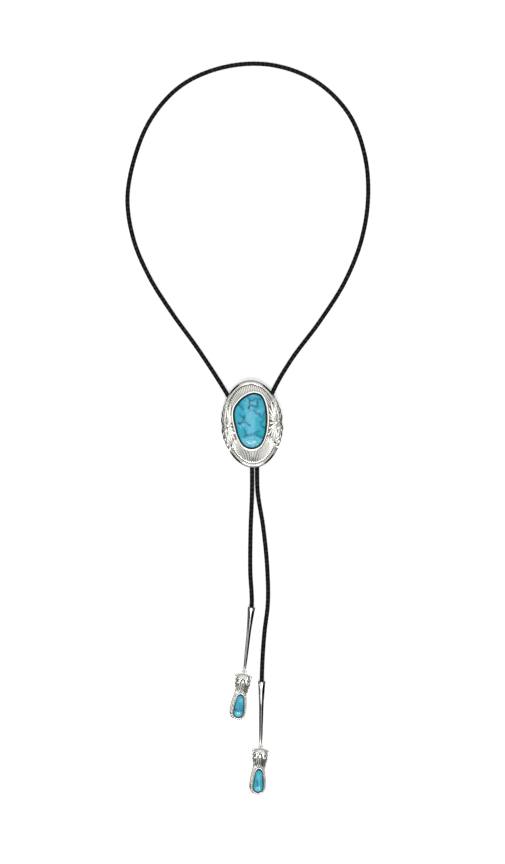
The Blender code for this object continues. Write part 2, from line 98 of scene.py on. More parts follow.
# Dark matrix veins of the slide's stone, as shares of half its width and length
STONE_VEINS = (
    ((-0.06, 0.85), (0.12, 0.74), (0.33, 0.80), (0.68, 0.77)),
    ((0.06, 0.73), (-0.01, 0.59), (-0.06, 0.44)),
    ((0.08, 0.59), (0.26, 0.52), (0.47, 0.51), (0.52, 0.64), (0.47, 0.74)),
    ((0.26, 0.40), (0.36, 0.28), (0.54, 0.22), (0.68, 0.13), (0.84, 0.23), (0.94, 0.37)),
    ((-0.62, 0.26), (-0.49, 0.17), (-0.41, 0.09), (-0.52, -0.02), (-0.69, -0.04)),
    ((-0.41, 0.09), (-0.34, 0.20)),
    ((-0.43, -0.01), (-0.22, -0.07), (-0.07, -0.16)),
    ((-0.41, -0.30), (-0.35, -0.41), (-0.31, -0.48), (0.01, -0.50), (0.24, -0.43), (0.47, -0.38)),
    ((-0.31, -0.48), (-0.45, -0.57)),
    ((0.24, -0.50), (0.43, -0.57), (0.73, -0.63)),
    ((0.85, 0.09), (0.70, -0.03), (0.63, -0.16), (0.80, -0.27)),
    ((-0.64, 0.62), (-0.51, 0.56), (-0.44, 0.44)),
)
DROP_STONES = (  # side, veins, and which part of the turquoise's pattern it is cut from
    ("left", (
        ((-0.95, -0.40), (-0.40, -0.28), (0.05, -0.42), (0.50, -0.30), (0.95, -0.22)),
        ((0.05, -0.42), (0.12, -0.05), (0.00, 0.20)),
    ), (0.031, 0.017, 0.0)),
    ("right", (((-0.30, 0.05), (-0.10, -0.20), (-0.25, -0.45)),), (0.058, 0.043, 0.0)),
)


def linear(hex_colour):
    """The linear colour of an sRGB hex value, with full cover."""
    channels = [int(hex_colour[place:place + 2], 16) / 255 for place in (1, 3, 5)]
    return (*(c / 12.92 if c <= 0.04045 else ((c + 0.055) / 1.055) ** 2.4 for c in channels), 1)


def metres(name, text, default):
    return FloatProperty(name=name, description=text, default=default, min=0, unit="LENGTH", precision=5)


def degrees(name, text, default):
    return FloatProperty(name=name, description=text, default=math.radians(default), subtype="ANGLE")


def tint(name, text, hex_colour):
    return FloatVectorProperty(
        name=name, description=text, default=linear(hex_colour), subtype="COLOR", size=4, min=0, max=1)


class BoloCordSettings(bpy.types.PropertyGroup):
    diameter: metres("Diameter", "Outer diameter of the round braid", 0.0032)
    pitch: metres("Braid pitch", "Length in which a lace goes once round the cord", 0.0062)
    strand_width: metres("Strand width", "Width of each leather lace", 0.0023)
    strand_thickness: metres("Strand thickness", "Thickness of each leather lace", 0.0007)
    wave: metres("Wave", "How far a lace rises over and dips under the others", 0.0001)
    colour: tint("Leather", "Dyed face of the lace", "#0A0A0C")
    # Rubbed grey: real rubbed wear in patches, and also a painted glint on every raised lace back
    rubbed_and_glint: tint("Rubbed leather", "Where the lace's dye is rubbed", "#363638")


class BoloSlideSettings(bpy.types.PropertyGroup):
    width: metres("Width", "Width of the oval", 0.0420)
    length: metres("Length", "Length of the oval", 0.0610)
    lean: degrees("Lean", "Anticlockwise lean", 3.5)
    rim: metres("Rim", "Width of the polished rim", 0.0030)
    flutes: IntProperty(name="Flutes", description="Radial flutes round the field", default=100, min=8)
    flute_depth: metres("Flute depth", "Depth of each flute", 0.00022)
    bezel: metres("Bezel", "Wall of the stone's bezel", 0.0015)
    stone_width: metres("Stone width", "Width of the freeform cabochon", 0.0229)
    stone_length: metres("Stone length", "Length of the freeform cabochon", 0.0382)
    lobes: IntProperty(name="Leaf lobes", description="Outer lobes on each leaf", default=4, min=1)


class BoloTipSettings(bpy.types.PropertyGroup):
    cone_length: metres("Cone length", "Length of each cone", 0.0435)
    mouth: metres("Mouth", "Outer diameter of the cone's rolled mouth", 0.0053)
    wire: metres("Wire", "Diameter of the ring and eye wire", 0.0005)
    drop_length: metres("Drop length", "From the middle of its eye to its lower end", 0.0328)
    plate_width: metres("Plate width", "Width of the pear backing plate", 0.0113)
    plate_length: metres("Plate length", "Length of the pear backing plate", 0.0218)
    stone_width: metres("Stone width", "Width of the pear cabochon", 0.0074)
    stone_length: metres("Stone length", "Length of the pear cabochon", 0.0166)
    left_lean: degrees("Left lean", "Lean of the left drop", 8.5)
    right_lean: degrees("Right lean", "Lean of the right drop", 3.6)


class BoloFinishSettings(bpy.types.PropertyGroup):
    silver: tint("Silver", "Polished rhodium plate", "#EDECE5")
    # Painted shade: the dark colour painted where shade falls, in grooves, gaps, recesses and under parts
    painted_shade: tint("Painted_shade_colour", "Dark oxide left in the recesses", "#2E2D28")
    sky: tint("Sky blue", "Light patches of the turquoise", "#6DCDE5")
    turquoise: tint("Turquoise", "Main colour of the stone", "#2EB3CE")
    teal: tint("Teal", "Green patches of the turquoise", "#26B3B4")
    deep: tint("Deep blue", "Stone next to its veins", "#0D75A2")
    matrix: tint("Matrix", "Veins of host rock", "#02202F")
    steel: tint("Steel", "Plain sheet of the clip", "#B8B8B6")
    sweep: tint("Sweep", "The pale surface that the tie lies on", "#F6F6F6")


class BoloStageSettings(bpy.types.PropertyGroup):
    camera_height: metres("Camera height", "Height of the lens over the surface", 1.8)
    sensor: FloatProperty(name="Sensor", description="Long side of the sensor, in millimetres", default=36.0)
    key: FloatProperty(name="Key light", description="Strength of the overhead strip", default=0.9)
    sky: FloatProperty(name="Room", description="Strength of the room's soft light", default=1.0)


# Geometry helpers


def smooth_curve(given, steps, closed=False):
    """Points on a smooth curve through the given ones, with the same steps in each span."""
    knots = np.array(given, float)
    count = len(knots)

    def heading(index):
        if not closed and index == 0:
            way = knots[1] - knots[0]
            return way / np.linalg.norm(way)
        if not closed and index == count - 1:
            way = knots[-1] - knots[-2]
            return way / np.linalg.norm(way)
        before = knots[index] - knots[index - 1]
        after = knots[(index + 1) % count] - knots[index]
        back, ahead = np.linalg.norm(before), np.linalg.norm(after)
        return (before / back * ahead + after / ahead * back) / (back + ahead)

    points = []
    for index in range(count if closed else count - 1):
        start, end = knots[index], knots[(index + 1) % count]
        reach = np.linalg.norm(end - start)
        leaving, arriving = heading(index) * reach, heading((index + 1) % count) * reach
        for step in range(steps):
            t = step / steps
            points.append(
                start * (2 * t**3 - 3 * t**2 + 1) + leaving * (t**3 - 2 * t**2 + t)
                + end * (3 * t**2 - 2 * t**3) + arriving * (t**3 - t**2)
            )
    if not closed:
        points.append(knots[-1])
    return np.array(points)


def unit(rows):
    """Each row's vector brought to a length of 1."""
    return rows / np.linalg.norm(rows, axis=1)[:, None]


def running(points):
    """How far along a line each of its points lies."""
    return np.concatenate([[0], np.cumsum(np.linalg.norm(np.diff(points, axis=0), axis=1))])


def sampled(at, run, points):
    """A line's points at given distances along it."""
    return np.column_stack([np.interp(at, run, column) for column in points.T])


def evenly(outline, count):
    """A closed outline sampled again at evenly spaced points."""
    ring = np.vstack([outline, outline[:1]])
    run = running(ring)
    return sampled(np.linspace(0, run[-1], count, endpoint=False), run, ring)


def outward(outline):
    """The way out at each point of an anticlockwise outline."""
    along = np.roll(outline, -1, axis=0) - np.roll(outline, 1, axis=0)
    return unit(np.column_stack([along[:, 1], -along[:, 0]]))


def widened(outline, distance):
    """An anticlockwise outline moved outwards by a distance."""
    return outline + outward(outline) * distance


def raised(outline, level):
    """An outline set at one level, or each of its points at its own."""
    return np.column_stack([outline, np.broadcast_to(level, len(outline))])


def lofted(rings, wrap=False, painted_shade=0.0):
    """A shell through closed rings: corners, faces, and painted shade given in all, by ring or by point."""
    rings = np.array(rings, float)
    rows, columns = rings.shape[:2]
    index = np.arange(rows * columns).reshape(rows, columns)
    lower, upper = (index, np.roll(index, -1, axis=0)) if wrap else (index[:-1], index[1:])
    faces = np.stack([lower, np.roll(lower, -1, axis=1), np.roll(upper, -1, axis=1), upper], axis=-1)
    faces = faces.reshape(-1, 4).tolist()
    if not wrap:
        faces += [index[0, ::-1].tolist(), index[-1].tolist()]
    shading = np.array(painted_shade, float).reshape(-1)
    return rings.reshape(-1, 3), faces, np.repeat(shading, rows * columns // len(shading))


def torus(ring_radius, wire_radius, around=40, across=12):
    """A ring of round wire, lying flat round the origin."""
    turn = np.linspace(0, 2 * math.pi, around, endpoint=False)[:, None]
    roll = np.linspace(0, 2 * math.pi, across, endpoint=False)[None, :]
    reach = ring_radius + wire_radius * np.cos(roll)
    rings = np.stack(
        [reach * np.cos(turn), reach * np.sin(turn), wire_radius * np.sin(roll) + 0 * turn], axis=-1
    )
    return lofted(rings[::-1], wrap=True)


BLADE_STEPS = 14
BLADE_ACROSS = 17
BLADE_BACK = 2.2  # how sharply a blade's back falls at its edges
BLADE_GROOVE = 0.34  # the dip between two ribs, as a share of the height
BLADE_START = 0.10  # how much of a blade's swell lies behind its base
BLADE_LEAST = 0.03  # the width that is left at its tip
BLADE_EDGE, BLADE_UNDER = -0.15, -0.5  # its edges' and its underside's level, as shares of the height
CROWN_SHADE_FADE = 1.5  # how fast the painted shade at a blade's edges fades towards its back


def blade(base, bearing, length, width, height, level, bend=0.0, ribs=1, tip_drop=0.0, fullness=0.75,
          edge_shade=1.3):
    """A cast leaf blade with a raised, ribbed back, drawn out from its base on a bearing."""
    side = np.linspace(-1, 1, BLADE_ACROSS)
    dips = 0.5 - 0.5 * np.cos(math.pi * (ribs + 1) * (side + 1))
    crown = (1 - np.abs(side) ** BLADE_BACK) * (1 - BLADE_GROOVE * dips)
    rings = []
    for t in np.linspace(0, 1, BLADE_STEPS):
        heading, mean = bearing + bend * t, bearing + bend * t / 2
        along = BLADE_START + (1 - BLADE_START) * t
        swell = max(math.sin(math.pi * along**0.85) ** fullness, BLADE_LEAST)
        middle = np.array(base) + length * t * np.array([math.cos(mean), math.sin(mean)])
        sideways = np.array([-math.sin(heading), math.cos(heading)])
        foot = level - tip_drop * t**2
        upper = foot + height * np.maximum(swell**0.6 * crown, BLADE_EDGE)
        flat = middle + sideways * (side * width / 2 * swell)[:, None]
        back = flat[1:-1][::-1] * 0.8 + middle * 0.2
        rings.append(np.vstack([raised(flat, upper), raised(back, foot + height * BLADE_UNDER)])[::-1])
    # Painted shade on the blade's edges and underside, clearing towards its raised back
    shading = np.concatenate([np.clip(edge_shade - crown * CROWN_SHADE_FADE, 0, 1), np.ones(BLADE_ACROSS - 2)])
    return lofted(rings, painted_shade=[shading[::-1]] * BLADE_STEPS)


SHARP_ANGLE = math.radians(50)


def moved(shell, matrix):
    """A shell moved and turned by a matrix."""
    corners, faces, painted_shade = shell
    return corners @ np.array(matrix.to_3x3()).T + np.array(matrix.translation), faces, painted_shade


def add_piece(name, shells, finish, replaced, detail=None):
    """One object from closed shells, riding on the frame's body, shaded smooth."""
    faces, start = [], 0
    for corners, shell_faces, _ in shells:
        faces += [[start + index for index in face] for face in shell_faces]
        start += len(corners)
    mesh = bpy.data.meshes.new(name)
    mesh.from_pydata(np.vstack([corners for corners, _, _ in shells]).tolist(), [], faces)
    detail = {"painted_shade": np.concatenate([painted_shade for _, _, painted_shade in shells]), **(detail or {})}
    for attribute, values in detail.items():
        mesh.attributes.new(attribute, "FLOAT", "POINT").data.foreach_set("value", values)
    mesh.materials.append(finish)
    work = bmesh.new()
    work.from_mesh(mesh)
    bmesh.ops.recalc_face_normals(work, faces=work.faces)
    work.to_mesh(mesh)
    work.free()
    mesh.shade_smooth()
    mesh.set_sharp_from_angle(angle=SHARP_ANGLE)
    piece = bpy.data.objects.new(name, mesh)
    bpy.context.scene.collection.objects.link(piece)
    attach(piece, "root")
    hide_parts(replaced)
    return piece


# Materials

SMOOTH = {"interpolation_type": "SMOOTHSTEP"}
RGBA = {"data_type": "RGBA"}


def feed(tree, made, values):
    """Set or link a node's inputs: a dictionary names them, a row starts at the first."""
    for socket, value in values.items() if isinstance(values, dict) else enumerate(values):
        if isinstance(value, bpy.types.NodeSocket):
            tree.links.new(value, made.inputs[socket])
        else:
            made.inputs[socket].default_value = value


def node(tree, kind, values=(), **settings):
    """Add a node with its inputs and its settings, and give its outputs."""
    made = tree.nodes.new("ShaderNode" + kind)
    for name, value in settings.items():
        setattr(made, name, value)
    feed(tree, made, values)
    return made.outputs


def per_metre(millimetres):
    """A pattern scale that gives features of a real size."""
    return 1000 / millimetres


def new_material(name):
    """A material, its tree, its surface shader and its object coordinates."""
    finish = bpy.data.materials.new(name)
    finish.use_nodes = True
    tree = finish.node_tree
    return finish, tree, tree.nodes["Principled BSDF"], node(tree, "TexCoord")["Object"]


def polished_silver():
    """Rhodium-plated cast alloy, tumbled and hand polished.

    The eye gets a near-white mirror on rims, bezels and leaf backs, a faint clouding from
    the polishing mop, and painted shade in grooves, gaps, recesses and under the leaf fans.
    """
    colours = bpy.context.scene.bolo_finishes
    finish, tree, shader, place = new_material("rhodium plated casting, polished")
    # Painted shade: the painted_shade attribute darkens and roughens grooves, gaps and undersides
    shade_mask = node(tree, "Attribute", attribute_name="painted_shade")["Fac"]
    # Mop clouding lies in patches of about 1.6 mm
    cloud = node(tree, "TexNoise", {"Vector": place, "Scale": per_metre(1.6), "Detail": 3.0})[0]
    # Tumbling scratches are finer than 0.1 mm, and are drawn 0.35 mm wide so that they show
    grain = node(tree, "TexNoise", {"Vector": place, "Scale": per_metre(0.35), "Detail": 2.0})[0]
    shading = node(tree, "MapRange", (shade_mask, 0.30, 1.0, 0.0, 0.88), **SMOOTH)[0]
    gloss = node(tree, "MapRange", (cloud, 0.3, 0.7, 0.05, 0.12))[0]
    feed(tree, shader, {
        "Base Color": node(tree, "Mix", {0: shading, 6: colours.silver, 7: colours.painted_shade}, **RGBA)[2],
        "Roughness": node(tree, "Math", (shading, 0.30, gloss), operation="MULTIPLY_ADD")[0],
        "Normal": node(tree, "Bump", {"Height": grain, "Strength": 0.08, "Distance": 0.00003})[0],
        "Metallic": 1.0,
    })
    return finish


def turquoise(name, shift):
    """Stabilised turquoise, cut and polished on a felt wheel.

    The eye gets soft-edged patches of sky blue and teal, dark veins of host rock that dip
    a little below the polish, and a glassy top.
    """
    colours = bpy.context.scene.bolo_finishes
    finish, tree, shader, place = new_material(name)
    place = node(tree, "VectorMath", (place, shift), operation="ADD")[0]
    # The painted reflection, the vein distance and the painted-shade edge line come in as attributes
    painted_reflection, distance, edge = [
        node(tree, "Attribute", attribute_name=detail)["Fac"] for detail in ("painted_reflection", "vein", "painted_shade")]
    # Patches of colour are about 7 mm across, and mottling inside them about 1.5 mm
    patch = {"Vector": place, "Scale": per_metre(7.0), "Detail": 2.0, "Distortion": 0.6}
    patch = node(tree, "TexNoise", patch)[0]
    mottle = node(tree, "TexNoise", {"Vector": place, "Scale": per_metre(1.5), "Detail": 4.0})[0]
    # The stone's heart and low end are painted paler, a painted reflection of the overhead strip and the low
    # softboxes, and it is a deeper blue within 2 mm of a vein
    body = colours.turquoise
    for share, toward in (
        (node(tree, "MapRange", (patch, 0.50, 0.66), **SMOOTH)[0], colours.sky),
        (node(tree, "MapRange", (patch, 0.46, 0.34), **SMOOTH)[0], colours.teal),
        (node(tree, "MapRange", (mottle, 0.35, 0.68, 0.0, 0.30))[0], colours.sky),
        (painted_reflection, colours.sky),
        (node(tree, "MapRange", (distance, 0.0, 0.0020, 0.50, 0.0), **SMOOTH)[0], colours.deep),
    ):
        body = node(tree, "Mix", {0: share, 6: body, 7: toward}, **RGBA)[2]
    # The drawn veins are up to about 0.5 mm wide, and fray and break with the mottling
    frayed = node(tree, "Math", (mottle, -VEIN_FRAY, distance), operation="MULTIPLY_ADD")[0]
    drawn = node(tree, "MapRange", (frayed, VEIN_CORE, VEIN_EDGE, 0.85, 0.0), **SMOOTH)[0]
    # Hairline web between them, in wandering cells of about 5 mm, broken where the rock thins
    wander = node(tree, "TexNoise", {"Vector": place, "Scale": per_metre(2.5), "Detail": 2.0})["Color"]
    stray = (wander, (0.0022, 0.0022, 0.0), place)
    cells = {"Vector": node(tree, "VectorMath", stray, operation="MULTIPLY_ADD")[0], "Scale": per_metre(5.0)}
    web = node(tree, "TexVoronoi", cells, feature="DISTANCE_TO_EDGE")[0]
    hair = node(tree, "MapRange", (web, 0.004, 0.040, 0.85, 0.0))[0]
    thin = node(tree, "MapRange", (patch, 0.50, 0.60), **SMOOTH)[0]
    broken = node(tree, "Math", (hair, thin), operation="MULTIPLY")[0]
    dark = node(tree, "Math", (drawn, broken), operation="ADD", use_clamp=True)[0]
    # Painted shade: the dark line round the stone's edge
    dark = node(tree, "Math", (dark, edge), operation="MAXIMUM", use_clamp=True)[0]
    dip = {"Height": dark, "Strength": 0.25, "Distance": 0.00008}
    feed(tree, shader, {
        "Base Color": node(tree, "Mix", {0: dark, 6: body, 7: colours.matrix}, **RGBA)[2],
        "Roughness": node(tree, "MapRange", (dark, 0.0, 1.0, 0.10, 0.40))[0],
        "Normal": node(tree, "Bump", dip, invert=True)[0],
        "IOR": 1.55,
        "Specular IOR Level": 0.30,
    })
    return finish


def braided_leather():
    """Drum-dyed cowhide lace, braided round and waxed.

    The eye gets a soft black with a waxy sheen on each lace's back, a fine pore grain, grey
    where the dye is rubbed, a painted grey glint on every raised lace, and painted shade
    where the laces dip under one another.
    """
    colours = bpy.context.scene.bolo_cord
    finish, tree, shader, place = new_material("drum dyed cowhide lace, waxed")
    # Cowhide pores are about 0.15 mm apart, and are drawn at 0.4 mm so that they show
    pores = node(tree, "TexVoronoi", {"Vector": place, "Scale": per_metre(0.4)})[0]
    # Rubbed patches run a few millimetres
    rubbed = node(tree, "TexNoise", {"Vector": place, "Scale": per_metre(3.0), "Detail": 3.0})[0]
    # Painted glint and shade: the rubbed grey goes only on raised lace backs, at least a third everywhere and
    # fuller in rubbed patches, and the dipped parts stay black
    low = node(tree, "Attribute", attribute_name="painted_shade")["Fac"]
    high = node(tree, "Math", (1.0, low), operation="SUBTRACT", use_clamp=True)[0]
    rubbed_and_glint = node(tree, "MapRange", (rubbed, 0.42, 0.66, 0.35, 1.0))[0]
    rubbed_and_glint = node(tree, "Math", (rubbed_and_glint, high), operation="MULTIPLY")[0]
    feed(tree, shader, {
        "Base Color": node(tree, "Mix", {0: rubbed_and_glint, 6: colours.colour, 7: colours.rubbed_and_glint}, **RGBA)[2],
        "Roughness": node(tree, "MapRange", (rubbed, 0.0, 1.0, 0.28, 0.46))[0],
        "Normal": node(tree, "Bump", {"Height": pores, "Strength": 0.30, "Distance": 0.00006})[0],
        "IOR": 1.5,
        "Specular IOR Level": 0.06,
    })
    return finish


def brushed_steel():
    """Stainless sheet, belt brushed along its length, which gives the eye fine satin lines."""
    finish, tree, shader, place = new_material("stainless sheet, belt brushed")
    # Brush lines are about 0.1 mm apart, drawn at 0.25 mm, and run 20 mm along the clip
    stretch = {"Vector": place, "Scale": (per_metre(0.25), per_metre(20), 1.0)}
    stretched = node(tree, "Mapping", stretch)[0]
    lines = node(tree, "TexNoise", {"Vector": stretched, "Scale": 1.0, "Detail": 2.0})[0]
    feed(tree, shader, {
        "Base Color": bpy.context.scene.bolo_finishes.steel,
        "Roughness": node(tree, "MapRange", (lines, 0.0, 1.0, 0.24, 0.42))[0],
        "Normal": node(tree, "Bump", {"Height": lines, "Strength": 0.15, "Distance": 0.00002})[0],
        "Metallic": 1.0,
    })
    return finish


def sweep_paper():
    """Matt white sweep, lit from under so that it stays white beside the piece."""
    finish, tree, shader, place = new_material("matt white sweep")
    # Paper fibre clouds over about 4 mm
    fibre = node(tree, "TexNoise", {"Vector": place, "Scale": per_metre(4.0), "Detail": 3.0})[0]
    feed(tree, shader, {
        "Base Color": bpy.context.scene.bolo_finishes.sweep,
        "Roughness": node(tree, "MapRange", (fibre, 0.0, 1.0, 0.80, 0.95))[0],
        "Specular IOR Level": 0.1,
        "Emission Color": (1, 1, 1, 1),
        "Emission Strength": SWEEP_GLOW,
    })
    return finish


# Stage

SWEEP_GLOW = 0.42
SWEEP_REACH = 6.0
SWEEP_CLEARANCE = 0.00002
# A panel's edges: a share of the way, and the values where the panel starts and where it is full
ROOM_UP = (-0.05, 0.92)
ROOM_DARK = 0.12
ROOM_LIGHT = 0.92
FLAG_DARK = 0.015
CORNER_FLAG = (("corner", 0.86, 0.96), ("up", 0.00, 0.06), ("up", 0.72, 0.60))
RIGHT_FLAG = (("x", 0.10, 0.20), ("y", -0.07, -0.10), ("y", -0.42, -0.36))
LEFT_FLAG = (("x", -0.10, -0.20), ("y", -0.10, -0.13), ("y", -0.26, -0.22))
STRIP = (("across", 0.11, 0.075), ("y", 0.40, 0.26), ("y", -0.10, -0.05), ("up", 0.00, 0.10))
LOW_PANEL = (("y", -0.22, -0.28), ("across", 0.42, 0.34), ("up", 0.55, 0.65))
LOW_PANEL_POWER = 0.4
# Two small softboxes stand off the lower end: their directions and how wide they look
SOFTBOXES = ((-0.14, -0.39, 0.91), (0.10, -0.40, 0.91))
SOFTBOX_EDGE = (math.cos(math.radians(6.5)), math.cos(math.radians(4.5)))
SOFTBOX_POWER = 14.0


def studio_world():
    """A white room with lights and dark flags as soft-edged panels, each given by direction."""
    stage = bpy.context.scene.bolo_stage
    world = bpy.data.worlds.new("white studio")
    world.use_nodes = True
    tree = world.node_tree
    tree.nodes.clear()
    way = node(tree, "TexCoord")["Generated"]
    level = node(tree, "VectorMath", (way, (1, 1, 0)), operation="MULTIPLY")[0]
    level = node(tree, "VectorMath", (level,), operation="NORMALIZE")[0]
    shares = dict(zip(("x", "y", "up"), node(tree, "SeparateXYZ", (way,))))
    level_x, level_y, _ = node(tree, "SeparateXYZ", (level,))
    shares["across"] = node(tree, "Math", (shares["x"],), operation="ABSOLUTE")[0]
    turned = node(tree, "Math", (level_x, level_y), operation="MULTIPLY")[0]
    turned = node(tree, "Math", (turned,), operation="ABSOLUTE")[0]
    shares["corner"] = node(tree, "Math", (turned, 2.0), operation="MULTIPLY")[0]

    def panel(*edges, full=1.0):
        """How much of a soft-edged panel each direction sees, times its full strength."""
        seen = full
        for share, outside, inside in edges:
            edge = node(tree, "MapRange", (shares[share], outside, inside), **SMOOTH)[0]
            seen = node(tree, "Math", (seen, edge), operation="MULTIPLY")[0]
        return seen

    room = panel(("up", *ROOM_UP), full=ROOM_LIGHT - ROOM_DARK)
    light = node(tree, "Math", (room, ROOM_DARK), operation="ADD")[0]
    for flag in (CORNER_FLAG, RIGHT_FLAG, LEFT_FLAG):
        open_way = node(tree, "Math", (1.0, panel(*flag, full=1 - FLAG_DARK)), operation="SUBTRACT")[0]
        light = node(tree, "Math", (light, open_way), operation="MULTIPLY")[0]
    lights = [panel(*STRIP, full=stage.key), panel(*LOW_PANEL, full=LOW_PANEL_POWER)]
    for number, direction in enumerate(SOFTBOXES):
        ways = (way, Vector(direction).normalized())
        shares[number] = node(tree, "VectorMath", ways, operation="DOT_PRODUCT")["Value"]
        lights.append(panel((number, *SOFTBOX_EDGE), full=SOFTBOX_POWER))
    for added in lights:
        light = node(tree, "Math", (light, added), operation="ADD")[0]
    seen = node(tree, "LightPath")["Is Camera Ray"]
    shown = node(tree, "Mix", {0: seen, 2: light, 3: 1.0}, data_type="FLOAT")[0]
    strength = node(tree, "Math", (shown, stage.sky), operation="MULTIPLY")[0]
    node(tree, "OutputWorld", (node(tree, "Background", ((1, 1, 1, 1), strength))[0],))
    bpy.context.scene.world = world


class BOLO_OT_stage(bpy.types.Operator):
    """Set the camera over the tie, a pale sweep under it, and the studio round it"""

    bl_idname = "bolo.stage"
    bl_label = "Stage"

    def execute(self, context):
        stage = context.scene.bolo_stage
        middle_x = (PHOTO_WIDTH / 2 - SLIDE_PIXEL[0]) * METRES_PER_PIXEL
        middle_y = (SLIDE_PIXEL[1] - PHOTO_HEIGHT / 2) * METRES_PER_PIXEL
        shown_height = PHOTO_HEIGHT * METRES_PER_PIXEL
        lens = bpy.data.cameras.new("camera")
        lens.sensor_width = stage.sensor
        lens.lens = stage.sensor * stage.camera_height / shown_height
        camera = bpy.data.objects.new("camera", lens)
        camera.location = (middle_x, middle_y, stage.camera_height)
        context.scene.collection.objects.link(camera)
        context.scene.camera = camera

        mesh = bpy.data.meshes.new("sweep")
        corners = [(x * SWEEP_REACH, y * SWEEP_REACH, 0) for x, y in ((-1, -1), (1, -1), (1, 1), (-1, 1))]
        mesh.from_pydata(corners, [], [(0, 1, 2, 3)])
        mesh.materials.append(sweep_paper())
        sweep = bpy.data.objects.new("sweep", mesh)
        sweep.location.z = -SWEEP_CLEARANCE
        sweep.visible_glossy = False
        context.scene.collection.objects.link(sweep)
        studio_world()
        context.scene.view_settings.view_transform = "Standard"
        return {"FINISHED"}


# Tips' places, read from the frame

CONE_FOOTING = 0.00003


def tip_lay(side):
    """Where a tip lies: its cone's and its drop's matrix, its ring's middle and radius, the cord's end."""
    tips = bpy.context.scene.bolo_tips
    low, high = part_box(f"{side}_jump_ring")
    ring = (low + high) / 2
    ring_radius = (high.x - low.x - tips.wire) / 2
    x, y = LEFT_MOUTH if side == "left" else RIGHT_MOUTH
    mouth = Vector((x, y, tips.mouth / 2 + CONE_FOOTING))
    flat_way = Vector((ring.x - x, ring.y - y, 0)).normalized()
    way = (ring - flat_way * ring_radius - mouth).normalized()
    cone = Matrix.Translation(mouth) @ way.to_track_quat("-Z", "Y").to_matrix().to_4x4()
    lean = tips.left_lean if side == "left" else tips.right_lean
    drop_way = Vector((-math.sin(lean), -math.cos(lean), 0))
    hung = Vector((ring.x, ring.y, 0)) + drop_way * ring_radius
    drop = Matrix.Translation(hung) @ Matrix.Rotation(-lean, 4, "Z")
    return cone, drop, ring, ring_radius, mouth + way * (CONE_BORE_DEPTH - GAP)


# Cord

LACE_SECTION = (  # across the lace, up it, and how much painted shade it gets (at its edges and underside)
    (-1.00, 0.05, 1.00), (-0.86, 0.66, 0.45), (-0.35, 0.97, 0.00), (0.35, 0.97, 0.00),
    (0.86, 0.66, 0.45), (1.00, 0.05, 1.00), (0.60, -0.90, 1.00), (-0.60, -0.90, 1.00),
)
LACE_STATION = 0.00056  # between a lace's sections
ROUTE_STEPS = 24
CORE_SIDES = 12
CORE_SHARE = 1.29  # of the radius that the laces lie on
UNDER_SHADE = 1.25  # painted shade: how much darker a lace is painted where it dips under another


def cord_path():
    """The cord's middle line, from inside the left cone round the neck loop to the right cone."""
    cord, tips = bpy.context.scene.bolo_cord, bpy.context.scene.bolo_tips
    radius = cord.diameter / 2
    lean = Matrix.Rotation(bpy.context.scene.bolo_slide.lean, 4, "Z")

    def lifted(rows):
        return [(x, y, radius + lift * (CHANNEL_LEVEL - radius)) for x, y, lift in rows]

    def lane(side):
        apart = side * (cord.diameter + GAP) / 2
        return [tuple(lean @ Vector((apart, y, CHANNEL_LEVEL))) for y in CLIP_STATIONS]

    mouth_level = tips.mouth / 2 + CONE_FOOTING
    left_end, right_end = tip_lay("left")[4], tip_lay("right")[4]
    route = [tuple(left_end), (*LEFT_MOUTH, mouth_level), *lifted(LEFT_TAIL), *lane(-1)]
    route += [*lifted(NECK_LOOP), *lane(1)[::-1], *lifted(RIGHT_TAIL)]
    route += [(*RIGHT_MOUTH, mouth_level), tuple(right_end)]
    path = smooth_curve(route, ROUTE_STEPS)
    path[:, 2] = np.maximum(path[:, 2], radius)
    return path


def ways_across(ahead):
    """The ways to the side of each heading and over it."""
    side = unit(np.cross(ahead, (0, 0, 1)))
    return side, np.cross(side, ahead)


def braid(path):
    """Four laces braided round a core, two turning each way, over one and under one."""
    cord = bpy.context.scene.bolo_cord
    run = running(path)
    tangent = np.gradient(path, run, axis=0)
    stations = np.linspace(0, run[-1], int(run[-1] / LACE_STATION))
    radius = cord.diameter / 2 - cord.wave - cord.strand_thickness / 2
    slant = math.atan2(2 * math.pi * radius, cord.pitch)
    turns = 2 * math.pi * stations / cord.pitch
    shells = []
    for turn, start in ((1, 0), (1, math.pi), (-1, 0), (-1, math.pi)):
        over_under = turn * np.cos(2 * turns)
        # Painted shade where the lace dips under another
        dip_shade = UNDER_SHADE * (0.5 - 0.5 * over_under)
        columns, shade = [], []
        for across, up, dark in LACE_SECTION:
            offset = across * cord.strand_width / 2
            at = np.clip(stations - turn * offset * math.sin(slant), 0, run[-1])
            side, over = ways_across(unit(sampled(at, run, tangent)))
            angle = (turn * turns + start + offset * math.cos(slant) / radius)[:, None]
            reach = (radius + cord.wave * over_under + up * cord.strand_thickness / 2)[:, None]
            columns.append(sampled(at, run, path) + reach * (np.cos(angle) * side + np.sin(angle) * over))
            shade.append(np.clip(dark + dip_shade, 0, 1))
        shells.append(lofted(np.stack(columns, axis=1), painted_shade=np.stack(shade, axis=1)))
    side, over = (ways[:, None, :] for ways in ways_across(tangent))
    roll = np.linspace(0, 2 * math.pi, CORE_SIDES, endpoint=False)[None, :, None]
    around = np.cos(roll) * side + np.sin(roll) * over
    # The core, in full painted shade, shows dark in the gaps between the laces
    shells.append(lofted(path[:, None, :] + radius * CORE_SHARE * around, painted_shade=1.0))
    return shells, run[-1]


class BOLO_OT_cord(bpy.types.Operator):
    """Braid the leather cord along its route"""

    bl_idname = "bolo.cord"
    bl_label = "Braided cord"

    def execute(self, context):
        path = cord_path()
        shells, length = braid(path)
        piece = add_piece("braided_cord", shells, braided_leather(), "cord")
        return {"FINISHED"}


# Slide

